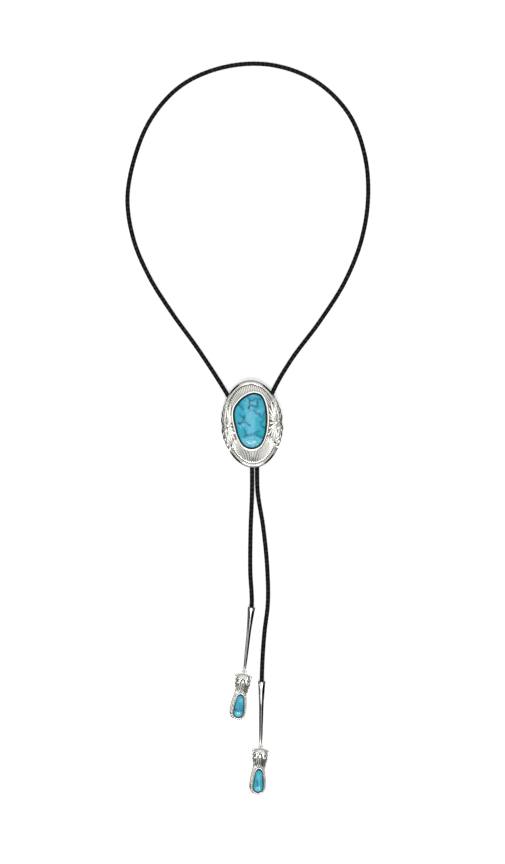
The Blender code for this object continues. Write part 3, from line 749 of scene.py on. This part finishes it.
FLUTE_POINTS = 6
PLATE_THICKNESS = 0.0012
FIELD_LOW = 0.0002
FIELD_HIGH = 0.0006
FIELD_CROWN = 0.0001
FIELD_ROWS = 14
FIELD_START = 0.03  # the first row's share of the way from the rim to the bezel
FLUTE_EDGE = 1.4  # how sharp the ridges between flutes are
FLUTE_FADE = 0.4  # how late the flutes run out
OVAL_POINTS = 2000  # of the curve that the flutes are spaced along
STONE_CENTRE = (-0.0009, 0.0020)
RIM_SECTION = (  # inset as a share of the rim, height as a share of foot to crown, painted shade (in the rim's groove and down its inner wall)
    (0.20, 0.00, 0.3), (0.03, 0.08, 0.1), (0.00, 0.18, 0.0), (0.00, 0.46, 0.0), (0.01, 0.54, 0.0),
    (0.03, 0.58, 0.0), (0.24, 0.77, 0.0), (0.44, 0.95, 0.0), (0.49, 0.98, 0.0), (0.54, 0.99, 0.0),
    (0.58, 0.99, 0.0), (0.60, 0.94, 0.9), (0.67, 0.94, 0.9), (0.69, 0.99, 0.0), (0.74, 1.00, 0.0),
    (0.84, 0.99, 0.0), (0.88, 0.93, 0.1), (0.90, 0.80, 0.8), (0.92, 0.64, 1.0), (1.08, 0.62, 1.0),
)
RIM_CROWN = 0.0021  # the rim's crown over the plate's back
BEZEL_SECTION = (  # out from the stone as a share of the wall, height as a share, painted shade (on the inner wall beside the stone and at the outer foot)
    (0.00, 0.00, 1.0), (0.00, 0.62, 1.0), (0.12, 0.80, 1.0), (0.17, 0.93, 0.5), (0.23, 1.00, 0.0),
    (0.55, 1.02, 0.0), (0.88, 0.99, 0.0), (0.96, 0.92, 0.0), (1.00, 0.74, 0.2), (1.00, 0.00, 1.0),
)
GROOVE_SHADE = (0.68, 0.14)  # painted shade in the flutes at the slide's middle, and how much more at its top
FAN_GROUND_SHADE = 0.80  # painted shade on the field round and under the fans
FLUTE_END_SHADE = 0.6  # painted shade where the flutes run out
LEAF_START = math.radians(1.5)
LEAF_SWEEP = math.radians(38)
LEAF_INSET = 0.0021
LEAF_LEVEL = 0.0003  # over the plate
MIDRIB = (0.0013, 0.0006, 0.0008)  # width, height, level over the leaf
MIDRIB_REACH = 1.02  # its length, as a share of the way from the leaf's root to its point
LOBES = (  # lean from the spine in radians, length, width, height, bend, ribs
    (-0.42, 0.0062, 0.0034, 0.0012, 0.30, 2), (0.46, 0.0056, 0.0033, 0.0011, -0.35, 1),
)
LOBE_TAPER = 0.45  # how much smaller the last lobes are
LOBE_LIFT = 0.0003
LOBE_DROP = 0.0004
FOLD_BLADES = (  # inset, half turns from inwards, length, width, height, level, fullness
    (0.0050, 0, 0.0060, 0.0019, 0.0011, 0.0008, 0.45), (0.0056, 1, 0.0034, 0.0027, 0.0013, 0.0009, 0.50),
)
FOLD_ROOT = 0.0036
FOLD_PETALS = (15, 44, -15, -44)  # lean of each short petal from straight out, in degrees
FOLD_PETAL = (0.0034, 0.0023, 0.0011, 0.0004, 0.0003)  # length, width, height, level, drop
FAN_MIDDLE = 0.0012  # the painted shade under the fans: its middle, and where it starts to end
FAN_SPAN = (0.0100, 0.0130)
FAN_LEVEL = 0.0004
FAN_STEP = 0.00012  # each blade lies this much over the one before
FAN_BEND = 0.16
FAN_HEIGHT = 0.0012
FAN_DROP = 0.0002
FAN_FULLNESS = 0.6
INNER_ROOT = 0.0044  # from the plate's edge in to the inner fans' roots
INNER_BLADES = (  # start above the fold, lean inwards in degrees, length, width
    (0.0030, 2, 0.0156, 0.0025), (0.0024, 15, 0.0142, 0.0025), (0.0018, 29, 0.0124, 0.0024),
    (0.0012, 44, 0.0104, 0.0022), (0.0007, 60, 0.0080, 0.0020),
)


def oval_reach(half_width, half_length, bearings):
    """How far an oval's edge lies from its middle at each bearing."""
    return 1 / np.hypot(np.cos(bearings) / half_width, np.sin(bearings) / half_length)


def outline_reach(outline, bearings):
    """How far a closed outline lies from the origin at each bearing."""
    own = np.arctan2(outline[:, 1], outline[:, 0])
    return np.interp(bearings, own, np.linalg.norm(outline, axis=1), period=2 * math.pi)


def stone_outline(widening=0.0, count=240):
    """The slide stone's outline, widened by a distance."""
    slide = bpy.context.scene.bolo_slide
    half = np.array([slide.stone_width / 2, slide.stone_length / 2])
    outline = smooth_curve(np.array(STONE_OUTLINE) * half + STONE_CENTRE, 12, closed=True)
    return widened(evenly(outline, count), widening)


def fluted_plate(slide, foot, plate_top):
    """The oval plate: a bevelled, polished rim round a fluted field that rises to the bezel."""
    half_width, half_length = slide.width / 2, slide.length / 2
    fine = np.linspace(-math.pi, math.pi, OVAL_POINTS, endpoint=False)
    lane = oval_reach(half_width - slide.rim * 2, half_length - slide.rim * 2, fine)[:, None]
    spaced = evenly(lane * np.column_stack([np.cos(fine), np.sin(fine)]), slide.flutes * FLUTE_POINTS)
    bearings = np.arctan2(spaced[:, 1], spaced[:, 0])
    ways = np.column_stack([np.cos(bearings), np.sin(bearings)])
    rings, shade_rows = [], []

    def add(reach, level, dark):
        rings.append(raised(ways * reach[:, None], level))
        shade_rows.append(np.broadcast_to(dark, reach.shape))

    for inset_share, height_share, dark in RIM_SECTION:
        inset = inset_share * slide.rim
        outer = oval_reach(half_width - inset, half_length - inset, bearings)
        add(outer, foot + height_share * RIM_CROWN, dark)
    inner = outline_reach(stone_outline(GAP + slide.bezel), bearings)
    groove = (0.5 - 0.5 * np.cos(2 * math.pi * np.arange(len(bearings)) / FLUTE_POINTS)) ** FLUTE_EDGE
    # Painted shade in the flute grooves, deeper towards the slide's top, under the fans and where the flutes
    # run out
    flute_shade = GROOVE_SHADE[0] + GROOVE_SHADE[1] * ways[:, 1]
    for share in np.linspace(FIELD_START, 1, FIELD_ROWS):
        fade = math.sin(math.pi * min(share, 0.98)) ** FLUTE_FADE
        rise = FIELD_LOW + (FIELD_HIGH - FIELD_LOW) * share + FIELD_CROWN * math.sin(math.pi * share)
        reach = outer + (inner - outer) * share
        from_fan = np.abs(reach * ways[:, 1] - FAN_MIDDLE) - FAN_SPAN[0]
        under_fans = 1 - np.clip(from_fan / (FAN_SPAN[1] - FAN_SPAN[0]), 0, 1)
        dark = np.maximum(flute_shade * groove, FAN_GROUND_SHADE * under_fans) + FLUTE_END_SHADE * (1 - fade)
        add(reach, plate_top + rise - slide.flute_depth * fade * groove, np.clip(dark, 0, 1))
    # The field's last rings under the bezel are in full painted shade
    for level in (plate_top + FIELD_HIGH, plate_top):
        add(outline_reach(stone_outline(GAP), bearings), level, 1.0)
    return lofted(rings, painted_shade=shade_rows)


def walled_bezel(outline, wall, foot, top):
    """A bezel's wall standing round a stone's seat, its lip rolled in over the stone."""
    rings = [raised(widened(outline, out * wall), foot + up * (top - foot)) for out, up, _ in BEZEL_SECTION]
    return lofted(rings, wrap=True, painted_shade=[dark for *_, dark in BEZEL_SECTION])


def side_leaf(slide, side, turn, level):
    """An acanthus leaf along the rim: a midrib with overlapping lobes on both sides."""
    across, along = slide.width / 2 - LEAF_INSET, slide.length / 2 - LEAF_INSET
    hand = side * turn

    def spine(share):
        angle = LEAF_START + share * LEAF_SWEEP
        place = (side * across * math.cos(angle), turn * along * math.sin(angle))
        return place, math.atan2(turn * along * math.cos(angle), -side * across * math.sin(angle))

    (root, start), (point, end) = spine(0), spine(1)
    width, height, lift = MIDRIB
    length = math.dist(root, point) * MIDRIB_REACH
    shells = [blade(root, start, length, width, height, level + lift, end - start, 0)]
    for share in (lobe / slide.lobes for lobe in range(slide.lobes)):
        place, bearing = spine(share)
        size = 1 - LOBE_TAPER * share**1.5
        foot = level + LOBE_LIFT * (1 - share)
        for lean, length, width, height, bend, ribs in LOBES:
            shells.append(blade(place, bearing + hand * lean, length * size, width * size, height, foot,
                                hand * bend, ribs, LOBE_DROP))
    return shells


def clear_length(base, bearing, length, clear):
    """How much of a blade's length lies outside a closed outline round the origin."""
    for share in np.linspace(0.1, 1, 40):
        x = base[0] + length * share * math.cos(bearing)
        y = base[1] + length * share * math.sin(bearing)
        if math.hypot(x, y) < outline_reach(clear, np.array([math.atan2(y, x)]))[0]:
            return length * share
    return length


def inner_fan(slide, side, turn, level, clear):
    """Long blades that spread over the field from the fold at the slide's side to the bezel."""
    shells = []
    for number, (start, lean, length, width) in enumerate(INNER_BLADES):
        bearing = turn * (math.pi / 2 + side * math.radians(lean))
        base = (side * (slide.width / 2 - INNER_ROOT), turn * start)
        reach = clear_length(base, bearing, length, clear)
        shells.append(blade(base, bearing, reach, width, FAN_HEIGHT, level + FAN_STEP * number,
                            -side * turn * FAN_BEND, 0, FAN_DROP, FAN_FULLNESS))
    return shells


def side_fold(slide, side, level, clear):
    """The fold between two leaves: a blade to the bezel, a boss over it, and short petals."""
    inward = math.pi if side > 0 else 0.0
    shells = []
    for inset, half_turns, length, width, height, lift, fullness in FOLD_BLADES:
        base, bearing = (side * (slide.width / 2 - inset), 0), inward + math.pi * half_turns
        reach = clear_length(base, bearing, length, clear)
        shells.append(blade(base, bearing, reach, width, height, level + lift, 0.0, 0, 0.0, fullness))
    base = (side * (slide.width / 2 - FOLD_ROOT), 0)
    length, width, height, lift, drop = FOLD_PETAL
    for lean in FOLD_PETALS:
        bearing = inward + math.pi + math.radians(lean)
        shells.append(blade(base, bearing, length, width, height, level + lift, 0.0, 1, drop))
    return shells


def add_silver(name, shells, replaced):
    add_piece(name, shells, polished_silver(), replaced)


class BOLO_OT_slide_setting(bpy.types.Operator):
    """Cast the oval setting: its rim, fluted field, leaves and bezel"""

    bl_idname = "bolo.slide_setting"
    bl_label = "Slide setting"

    def execute(self, context):
        slide = context.scene.bolo_slide
        low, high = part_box("slide_setting")
        top = low.z + PLATE_THICKNESS
        clear = stone_outline(GAP + slide.bezel * 0.6)
        shells = [fluted_plate(slide, low.z, top), walled_bezel(stone_outline(GAP), slide.bezel, top, high.z)]
        for side in (-1, 1):
            for turn in (-1, 1):
                shells += side_leaf(slide, side, turn, top + LEAF_LEVEL)
                shells += inner_fan(slide, side, turn, top + FAN_LEVEL, clear)
            shells += side_fold(slide, side, top, clear)
        lean = Matrix.Rotation(slide.lean, 4, "Z")
        add_silver("oval_setting", [moved(shell, lean) for shell in shells], "slide_setting")
        return {"FINISHED"}


# Stones

CABOCHON = (  # outline share, height share
    (1.00, 0.00), (1.00, 0.20), (1.00, 0.36), (0.96, 0.56), (0.86, 0.74), (0.67, 0.89),
    (0.40, 0.975), (0.14, 0.998), (0.01, 1.00),
)
CABOCHON_ROWS = 80
EDGE_SHADE_WIDTH = 0.00070  # width of the dark line of painted shade round a stone
EDGE_DARK = 1.7  # how far over full black it starts
VEIN_CORE = -0.00042
VEIN_EDGE = -0.00019
VEIN_FRAY = 0.00100
VEIN_WANDER = ((0.0024, 0.00060), (0.0009, 0.00022))  # the length of its turns, how far it strays
# The painted reflection, a paler heart, as shares of half the stone: where it ends and how softly, and how
# pale it is
HEART_ACROSS = (0.36, 0.20)
HEART_ALONG = (0.66, 0.22)
HEART_MIDDLE = 0.04
HEART_REFLECTION = 0.72
LOW_END = (-0.50, 0.35, 0.05)  # where the painted reflection's pale low end starts, how much it curves, how softly
LOW_END_REFLECTION = 0.85


def line_distance(points, line):
    """How far each point lies from a broken line."""
    nearest = np.full(len(points), np.inf)
    for start, end in zip(line, line[1:]):
        along = end - start
        share = np.clip((points - start) @ along / (along @ along), 0, 1)
        nearest = np.minimum(nearest, np.linalg.norm(points - start - share[:, None] * along, axis=1))
    return nearest


def cabochon(outline, foot, top, veins, half, centre):
    """A domed stone with its painted-shade dark edge, each point's distance to the veins, and its painted
    reflection: a paler heart and low end.
    """
    profile = smooth_curve(CABOCHON, 12)
    run = running(profile * (min(half), top - foot))
    middle = outline.mean(axis=0)
    rings, shade_rows = [], []
    for out, up in sampled(np.linspace(0, run[-1], CABOCHON_ROWS), run, profile):
        edge = middle + (outline - middle) * out
        rings.append(raised(edge, foot + up * (top - foot)))
        # Painted shade: a dark line round the stone's foot
        shade_rows.append(np.clip(EDGE_DARK - np.linalg.norm(outline - edge, axis=1) / EDGE_SHADE_WIDTH, 0, 1))
    shell = lofted(rings, painted_shade=shade_rows)
    flat = shell[0][:, :2].copy()
    across, along = ((flat - centre) / half).T
    # Painted reflection: a paler column down the middle and a paler low end
    column = np.clip((HEART_ACROSS[0] - np.abs(across)) / HEART_ACROSS[1], 0, 1)
    column *= np.clip((HEART_ALONG[0] - np.abs(along - HEART_MIDDLE)) / HEART_ALONG[1], 0, 1)
    start, curve, soft = LOW_END
    low_end = np.clip((start - curve * across**2 - along) / soft, 0, 1)
    for place in flat:
        for turns, reach in VEIN_WANDER:
            place += reach * np.array(noise.noise_vector(Vector((*place, 0.0)) / turns)[:2])
    drawn = [smooth_curve(np.array(vein) * half + centre, 5) for vein in veins]
    distance = np.min([line_distance(flat, line) for line in drawn], axis=0)
    return shell, {"vein": distance, "painted_reflection": HEART_REFLECTION * column + LOW_END_REFLECTION * low_end}


class BOLO_OT_slide_stone(bpy.types.Operator):
    """Cut the slide's freeform turquoise cabochon"""

    bl_idname = "bolo.slide_stone"
    bl_label = "Slide stone"

    def execute(self, context):
        slide = context.scene.bolo_slide
        low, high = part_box("slide_stone")
        half = np.array([slide.stone_width / 2, slide.stone_length / 2])
        shell, detail = cabochon(stone_outline(0.0, 300), low.z, high.z, STONE_VEINS, half, STONE_CENTRE)
        shell = moved(shell, Matrix.Rotation(slide.lean, 4, "Z"))
        finish = turquoise("turquoise with rock matrix, polished", (0, 0, 0))
        add_piece("turquoise_cabochon", [shell], finish, "slide_stone", detail)
        return {"FINISHED"}


class BOLO_OT_clip(bpy.types.Operator):
    """Brush the plain clip behind the slide"""

    bl_idname = "bolo.clip"
    bl_label = "Cord clip"

    def execute(self, context):
        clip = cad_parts["cord_clip"]
        clip.data.materials.clear()
        clip.data.materials.append(brushed_steel())
        return {"FINISHED"}


# Tips

CONE_SECTION = (  # share of the length, share of the mouth's diameter
    (0.000, 0.88), (0.006, 0.96), (0.014, 1.00), (0.026, 0.985), (0.042, 0.93), (0.08, 0.87),
    (0.15, 0.79), (0.21, 0.73), (0.29, 0.65), (0.37, 0.59), (0.53, 0.54), (0.69, 0.49), (0.85, 0.44),
    (0.94, 0.39), (1.00, 0.33),
)
CONE_SIDES = 64
PIN = 0.00002  # the radius that closes a cone's ends
PLATE_SHIFT = -0.0006  # the drop's plate shows wider on the left of its stone
STONE_MARGIN = 0.0014  # from the drop stone's lower end to the plate's
DROP_PLATE_SECTION = (  # inset and height in metres, painted shade (at the plate's foot)
    (0.00035, 0.0000, 0.4), (0.00010, 0.0001, 0.2), (0.00000, 0.0004, 0.0), (0.00006, 0.0007, 0.0),
    (0.00025, 0.00098, 0.0), (0.00055, 0.00115, 0.0), (0.00090, 0.0012, 0.0),
)
PEAR_WALL = 0.00042
PEAR_SINK = 0.0002  # how deep its bezel stands in the plate
ROPE_PITCH = 0.00155
ROPE_RADIUS = 0.00050
ROPE_POINTS = 8
ROPE_SIDES = 10
ROPE_SEAT = 0.75  # how far out from the bezel it lies, in its radii
ROPE_LEVEL = 0.00075
CROWN_PETALS = (  # lean out from straight down in degrees, length, width, foot
    (70, 0.0060, 0.0019, 0.0013), (47, 0.0066, 0.0019, 0.0015), (23, 0.0070, 0.0017, 0.0017),
)
CROWN_MIDDLE = (0.0070, 0.0016, 0.0011, 0.0018)  # the middle petal: length, width, height, level
CROWN_RISE = 0.0008
CROWN_BULGE = 10  # how fast the crown falls away from its middle, in 1/m
CROWN_HEIGHT = 0.0009  # of the petals and side tips over their feet
CROWN_DROP = 0.0003
PETAL_EDGE_SHADE = 1.12  # how much painted shade the petals keep at their edges
PETAL_BEND = 0.18
MIDDLE_ROOT = (0, -0.0008)
PETAL_ROOT = (0.0002, -0.0014)
SIDE_TIPS = (  # start across, start down, lean in degrees, length, width
    (0.0022, -0.0032, 62, 0.0042, 0.0017), (0.0024, -0.0050, 48, 0.0047, 0.0018),
    (0.0026, -0.0066, 36, 0.0047, 0.0018),
)
SIDE_BEND = -0.35
SIDE_FOOT = 0.0008
VOLUTE = (0.0050, -0.0022, 0.0015)
VOLUTE_RING = (0.00062, 0.00034, 24, 10)  # radius, its wire's radius, points round and across
RIBS = (-0.0036, -0.00216, -0.00072, 0.00072, 0.00216, 0.0036)
RIB_TOP = -0.0058
RIB_LENGTH = 0.0090
RIB_WIDTH = 0.00128
RIB_HEIGHT = 0.0006
RIB_FULLNESS = 0.28
RIB_GATHER = 0.85  # how close together they start
RIB_LEVEL = 0.0011
RIB_BULGE = 0.0009  # the fringe bows up in the middle
RIB_SPREAD = 20  # how fast the ribs fan out, in radians a metre across
RIB_TURN = 130  # how fast their tops turn outwards
BACKING_SIDE = ((-0.45, 0.80), (-0.72, 0.35), (-0.80, -0.3), (-0.86, -0.95))
BACKING_HALF = (0.0049, 0.0062)
BACKING_MIDDLE = (0, -0.0077)
BACKING_LEVELS = (0.0003, 0.0011)


def mirrored(side, top=1.0):
    """An outline from the left side's points, from a top on the middle line to its low end."""
    return np.array([(0.0, top), *side, (0.0, -1.0), *((-x, y) for x, y in side[::-1])])


def pear(width, length, centre_x, low, widening=0.0, count=180):
    """A pear outline of a given width and length that ends at its low point."""
    half = np.array([width / 2, length / 2])
    outline = smooth_curve(mirrored(PEAR_SIDE) * half + (centre_x, low + length / 2), 10, closed=True)
    return widened(evenly(outline, count), widening)


def rope(outline, level):
    """A beaded wire laid along a closed outline."""
    edge = np.linalg.norm(np.roll(outline, -1, axis=0) - outline, axis=1).sum()
    line = evenly(outline, round(edge / ROPE_PITCH) * ROPE_POINTS)
    out = outward(line)
    phase = np.arange(len(line)) % ROPE_POINTS / ROPE_POINTS
    swell = ROPE_RADIUS * (0.50 + 0.50 * np.sin(math.pi * phase) ** 0.7)
    rolls = np.linspace(0, 2 * math.pi, ROPE_SIDES, endpoint=False)
    rings = [
        raised(line + out * (swell * math.cos(roll))[:, None], level + swell * math.sin(roll))
        for roll in rolls
    ]
    # Painted shade where the beads narrow into each other
    return lofted(rings, wrap=True, painted_shade=[1 - (swell / ROPE_RADIUS - 0.5) * 2] * len(rolls))


def leaf_crown():
    """The drop's leaf crown: a palmette with volutes, side tips, and ribs down to the bezel."""
    down = -math.pi / 2
    shells = [blade(MIDDLE_ROOT, down, *CROWN_MIDDLE, 0.0, 0, edge_shade=PETAL_EDGE_SHADE)]
    for side in (-1, 1):
        for lean, length, width, foot in CROWN_PETALS:
            base, bearing = (side * PETAL_ROOT[0], PETAL_ROOT[1]), down + side * math.radians(lean)
            shells.append(blade(base, bearing, length, width, CROWN_HEIGHT, foot, side * PETAL_BEND, 0,
                                CROWN_DROP, edge_shade=PETAL_EDGE_SHADE))
        for across, start, lean, length, width in SIDE_TIPS:
            shells.append(blade((side * across, start), down + side * math.radians(lean), length, width,
                                CROWN_HEIGHT, SIDE_FOOT, side * SIDE_BEND, 1, CROWN_DROP))
        x, y, level = VOLUTE
        shells.append(moved(torus(*VOLUTE_RING), Matrix.Translation((side * x, y, level))))
    for corners, _, _ in shells:
        corners[:, 2] += CROWN_RISE - CROWN_BULGE * corners[:, 0] ** 2
    for x in RIBS:
        rib = blade((0, 0), down + x * RIB_SPREAD, RIB_LENGTH, RIB_WIDTH, RIB_HEIGHT, 0.0, 0.0, 0, 0.0,
                    RIB_FULLNESS)
        level = RIB_LEVEL + RIB_BULGE * (1 - (x / RIBS[-1]) ** 2)
        turned = Matrix.Translation((x * RIB_GATHER, RIB_TOP, level)) @ Matrix.Rotation(x * RIB_TURN, 4, "Y")
        shells.append(moved(rib, turned))
    # A backing sheet in full painted shade under the ribs, dark in the gaps between them
    outline = smooth_curve(mirrored(BACKING_SIDE, 0.9) * BACKING_HALF + BACKING_MIDDLE, 8, closed=True)
    shells.append(lofted([raised(outline, level) for level in BACKING_LEVELS], painted_shade=1.0))
    return shells


def standing_eye(tips, level):
    """A ring of wire that stands along the tip, over or under the origin."""
    upright = Matrix.Translation((0, 0, level)) @ Matrix.Rotation(math.pi / 2, 4, "Y")
    return moved(torus(tips.wire + GAP, tips.wire / 2), upright)


def drop_setting(tips, eye_level, bezel_top):
    """One drop's setting in its own frame, its eye at the origin and its end down -Y."""
    low = -tips.drop_length
    plate = pear(tips.plate_width, tips.plate_length, PLATE_SHIFT, low)
    rings = [raised(widened(plate, -inset), level) for inset, level, _ in DROP_PLATE_SECTION]
    plate_top = DROP_PLATE_SECTION[-1][1]
    seat = pear(tips.stone_width, tips.stone_length, 0, low + STONE_MARGIN, GAP)
    return [
        lofted(rings, painted_shade=[dark for *_, dark in DROP_PLATE_SECTION]),
        walled_bezel(seat, PEAR_WALL, plate_top - PEAR_SINK, bezel_top),
        rope(widened(seat, PEAR_WALL + ROPE_RADIUS * ROPE_SEAT), plate_top + ROPE_LEVEL),
        *leaf_crown(),
        standing_eye(tips, eye_level),
    ]


def turned_cone(tips):
    """A hollow cone turned round its own Z, its mouth at the origin, with the eye at its point."""
    bore = bpy.context.scene.bolo_cord.diameter / 2 + GAP
    # Painted shade in the bore and on the mouth's inner lip
    profile = [(PIN, -CONE_BORE_DEPTH, 1.0), (bore, -CONE_BORE_DEPTH, 1.0), (bore, 0.0, 0.8)]
    for along, across in smooth_curve(CONE_SECTION, 4):
        profile.append((tips.mouth / 2 * across, -tips.cone_length * along, 0.0))
    profile.append((PIN, -tips.cone_length, 0.0))
    turn = np.linspace(0, 2 * math.pi, CONE_SIDES, endpoint=False)
    circle = np.column_stack([np.cos(turn), np.sin(turn)])
    cone = lofted([raised(circle * radius, level) for radius, level, _ in profile],
                  painted_shade=[dark for *_, dark in profile])
    return [cone, standing_eye(tips, -(tips.cone_length + tips.wire / 2 + GAP))]


class BOLO_OT_cones(bpy.types.Operator):
    """Turn the two hollow cones on the cord's ends"""

    bl_idname = "bolo.cones"
    bl_label = "Tip cones"

    def execute(self, context):
        for side in ("left", "right"):
            shells = [moved(shell, tip_lay(side)[0]) for shell in turned_cone(context.scene.bolo_tips)]
            add_silver(f"{side}_cone", shells, f"{side}_tip_cone")
        return {"FINISHED"}


class BOLO_OT_rings(bpy.types.Operator):
    """Bend the jump rings between the cones and the drops"""

    bl_idname = "bolo.rings"
    bl_label = "Jump rings"

    def execute(self, context):
        for side in ("left", "right"):
            _, _, middle, radius, _ = tip_lay(side)
            shell = torus(radius, context.scene.bolo_tips.wire / 2, 48, 14)
            add_silver(f"{side}_ring", [moved(shell, Matrix.Translation(middle))], f"{side}_jump_ring")
        return {"FINISHED"}


class BOLO_OT_drop_settings(bpy.types.Operator):
    """Cast the two drops' settings"""

    bl_idname = "bolo.drop_settings"
    bl_label = "Drop settings"

    def execute(self, context):
        for side in ("left", "right"):
            _, drop, ring, _, _ = tip_lay(side)
            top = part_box(f"{side}_drop_setting")[1].z
            shells = [moved(shell, drop) for shell in drop_setting(context.scene.bolo_tips, ring.z, top)]
            add_silver(f"{side}_drop", shells, f"{side}_drop_setting")
        return {"FINISHED"}


class BOLO_OT_drop_stones(bpy.types.Operator):
    """Cut the two pear cabochons of the drops"""

    bl_idname = "bolo.drop_stones"
    bl_label = "Drop stones"

    def execute(self, context):
        tips = context.scene.bolo_tips
        low_end = -tips.drop_length + STONE_MARGIN
        half = np.array([tips.stone_width / 2, tips.stone_length / 2])
        centre = (0, low_end + tips.stone_length / 2)
        outline = pear(tips.stone_width, tips.stone_length, 0, low_end)
        for side, veins, shift in DROP_STONES:
            low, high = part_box(f"{side}_drop_stone")
            shell, detail = cabochon(outline, low.z, high.z, veins, half, centre)
            shell, finish = moved(shell, tip_lay(side)[1]), turquoise(f"{side} turquoise, polished", shift)
            add_piece(f"{side}_pear_stone", [shell], finish, f"{side}_drop_stone", detail)
        return {"FINISHED"}


class BOLO_PT_maker(bpy.types.Panel):
    """Sizes, colours and makers of the bolo tie"""

    bl_idname = "BOLO_PT_maker"
    bl_label = "Bolo Tie"
    bl_space_type = "VIEW_3D"
    bl_region_type = "UI"
    bl_category = "Bolo"

    def draw(self, context):
        for group in GROUPS:
            settings = getattr(context.scene, group)
            box = self.layout.box()
            for name in settings.__annotations__:
                box.prop(settings, name)
        for maker in MAKERS:
            self.layout.operator(maker.bl_idname)


GROUPS = {
    "bolo_cord": BoloCordSettings,
    "bolo_slide": BoloSlideSettings,
    "bolo_tips": BoloTipSettings,
    "bolo_finishes": BoloFinishSettings,
    "bolo_stage": BoloStageSettings,
}
MAKERS = (
    BOLO_OT_stage, BOLO_OT_cord, BOLO_OT_slide_setting, BOLO_OT_slide_stone, BOLO_OT_clip,
    BOLO_OT_cones, BOLO_OT_rings, BOLO_OT_drop_settings, BOLO_OT_drop_stones,
)


def register():
    for group, settings in GROUPS.items():
        bpy.utils.register_class(settings)
        setattr(bpy.types.Scene, group, PointerProperty(type=settings))
    for maker in (*MAKERS, BOLO_PT_maker):
        bpy.utils.register_class(maker)


def unregister():
    for maker in (BOLO_PT_maker, *reversed(MAKERS)):
        bpy.utils.unregister_class(maker)
    for group, settings in GROUPS.items():
        delattr(bpy.types.Scene, group)
        bpy.utils.unregister_class(settings)


def main():
    register()
    bpy.ops.bolo.stage()
    bpy.ops.bolo.cord()
    bpy.ops.bolo.slide_setting()
    bpy.ops.bolo.slide_stone()
    bpy.ops.bolo.clip()
    bpy.ops.bolo.cones()
    bpy.ops.bolo.rings()
    bpy.ops.bolo.drop_settings()
    bpy.ops.bolo.drop_stones()


if __name__ == "__main__":
    main()
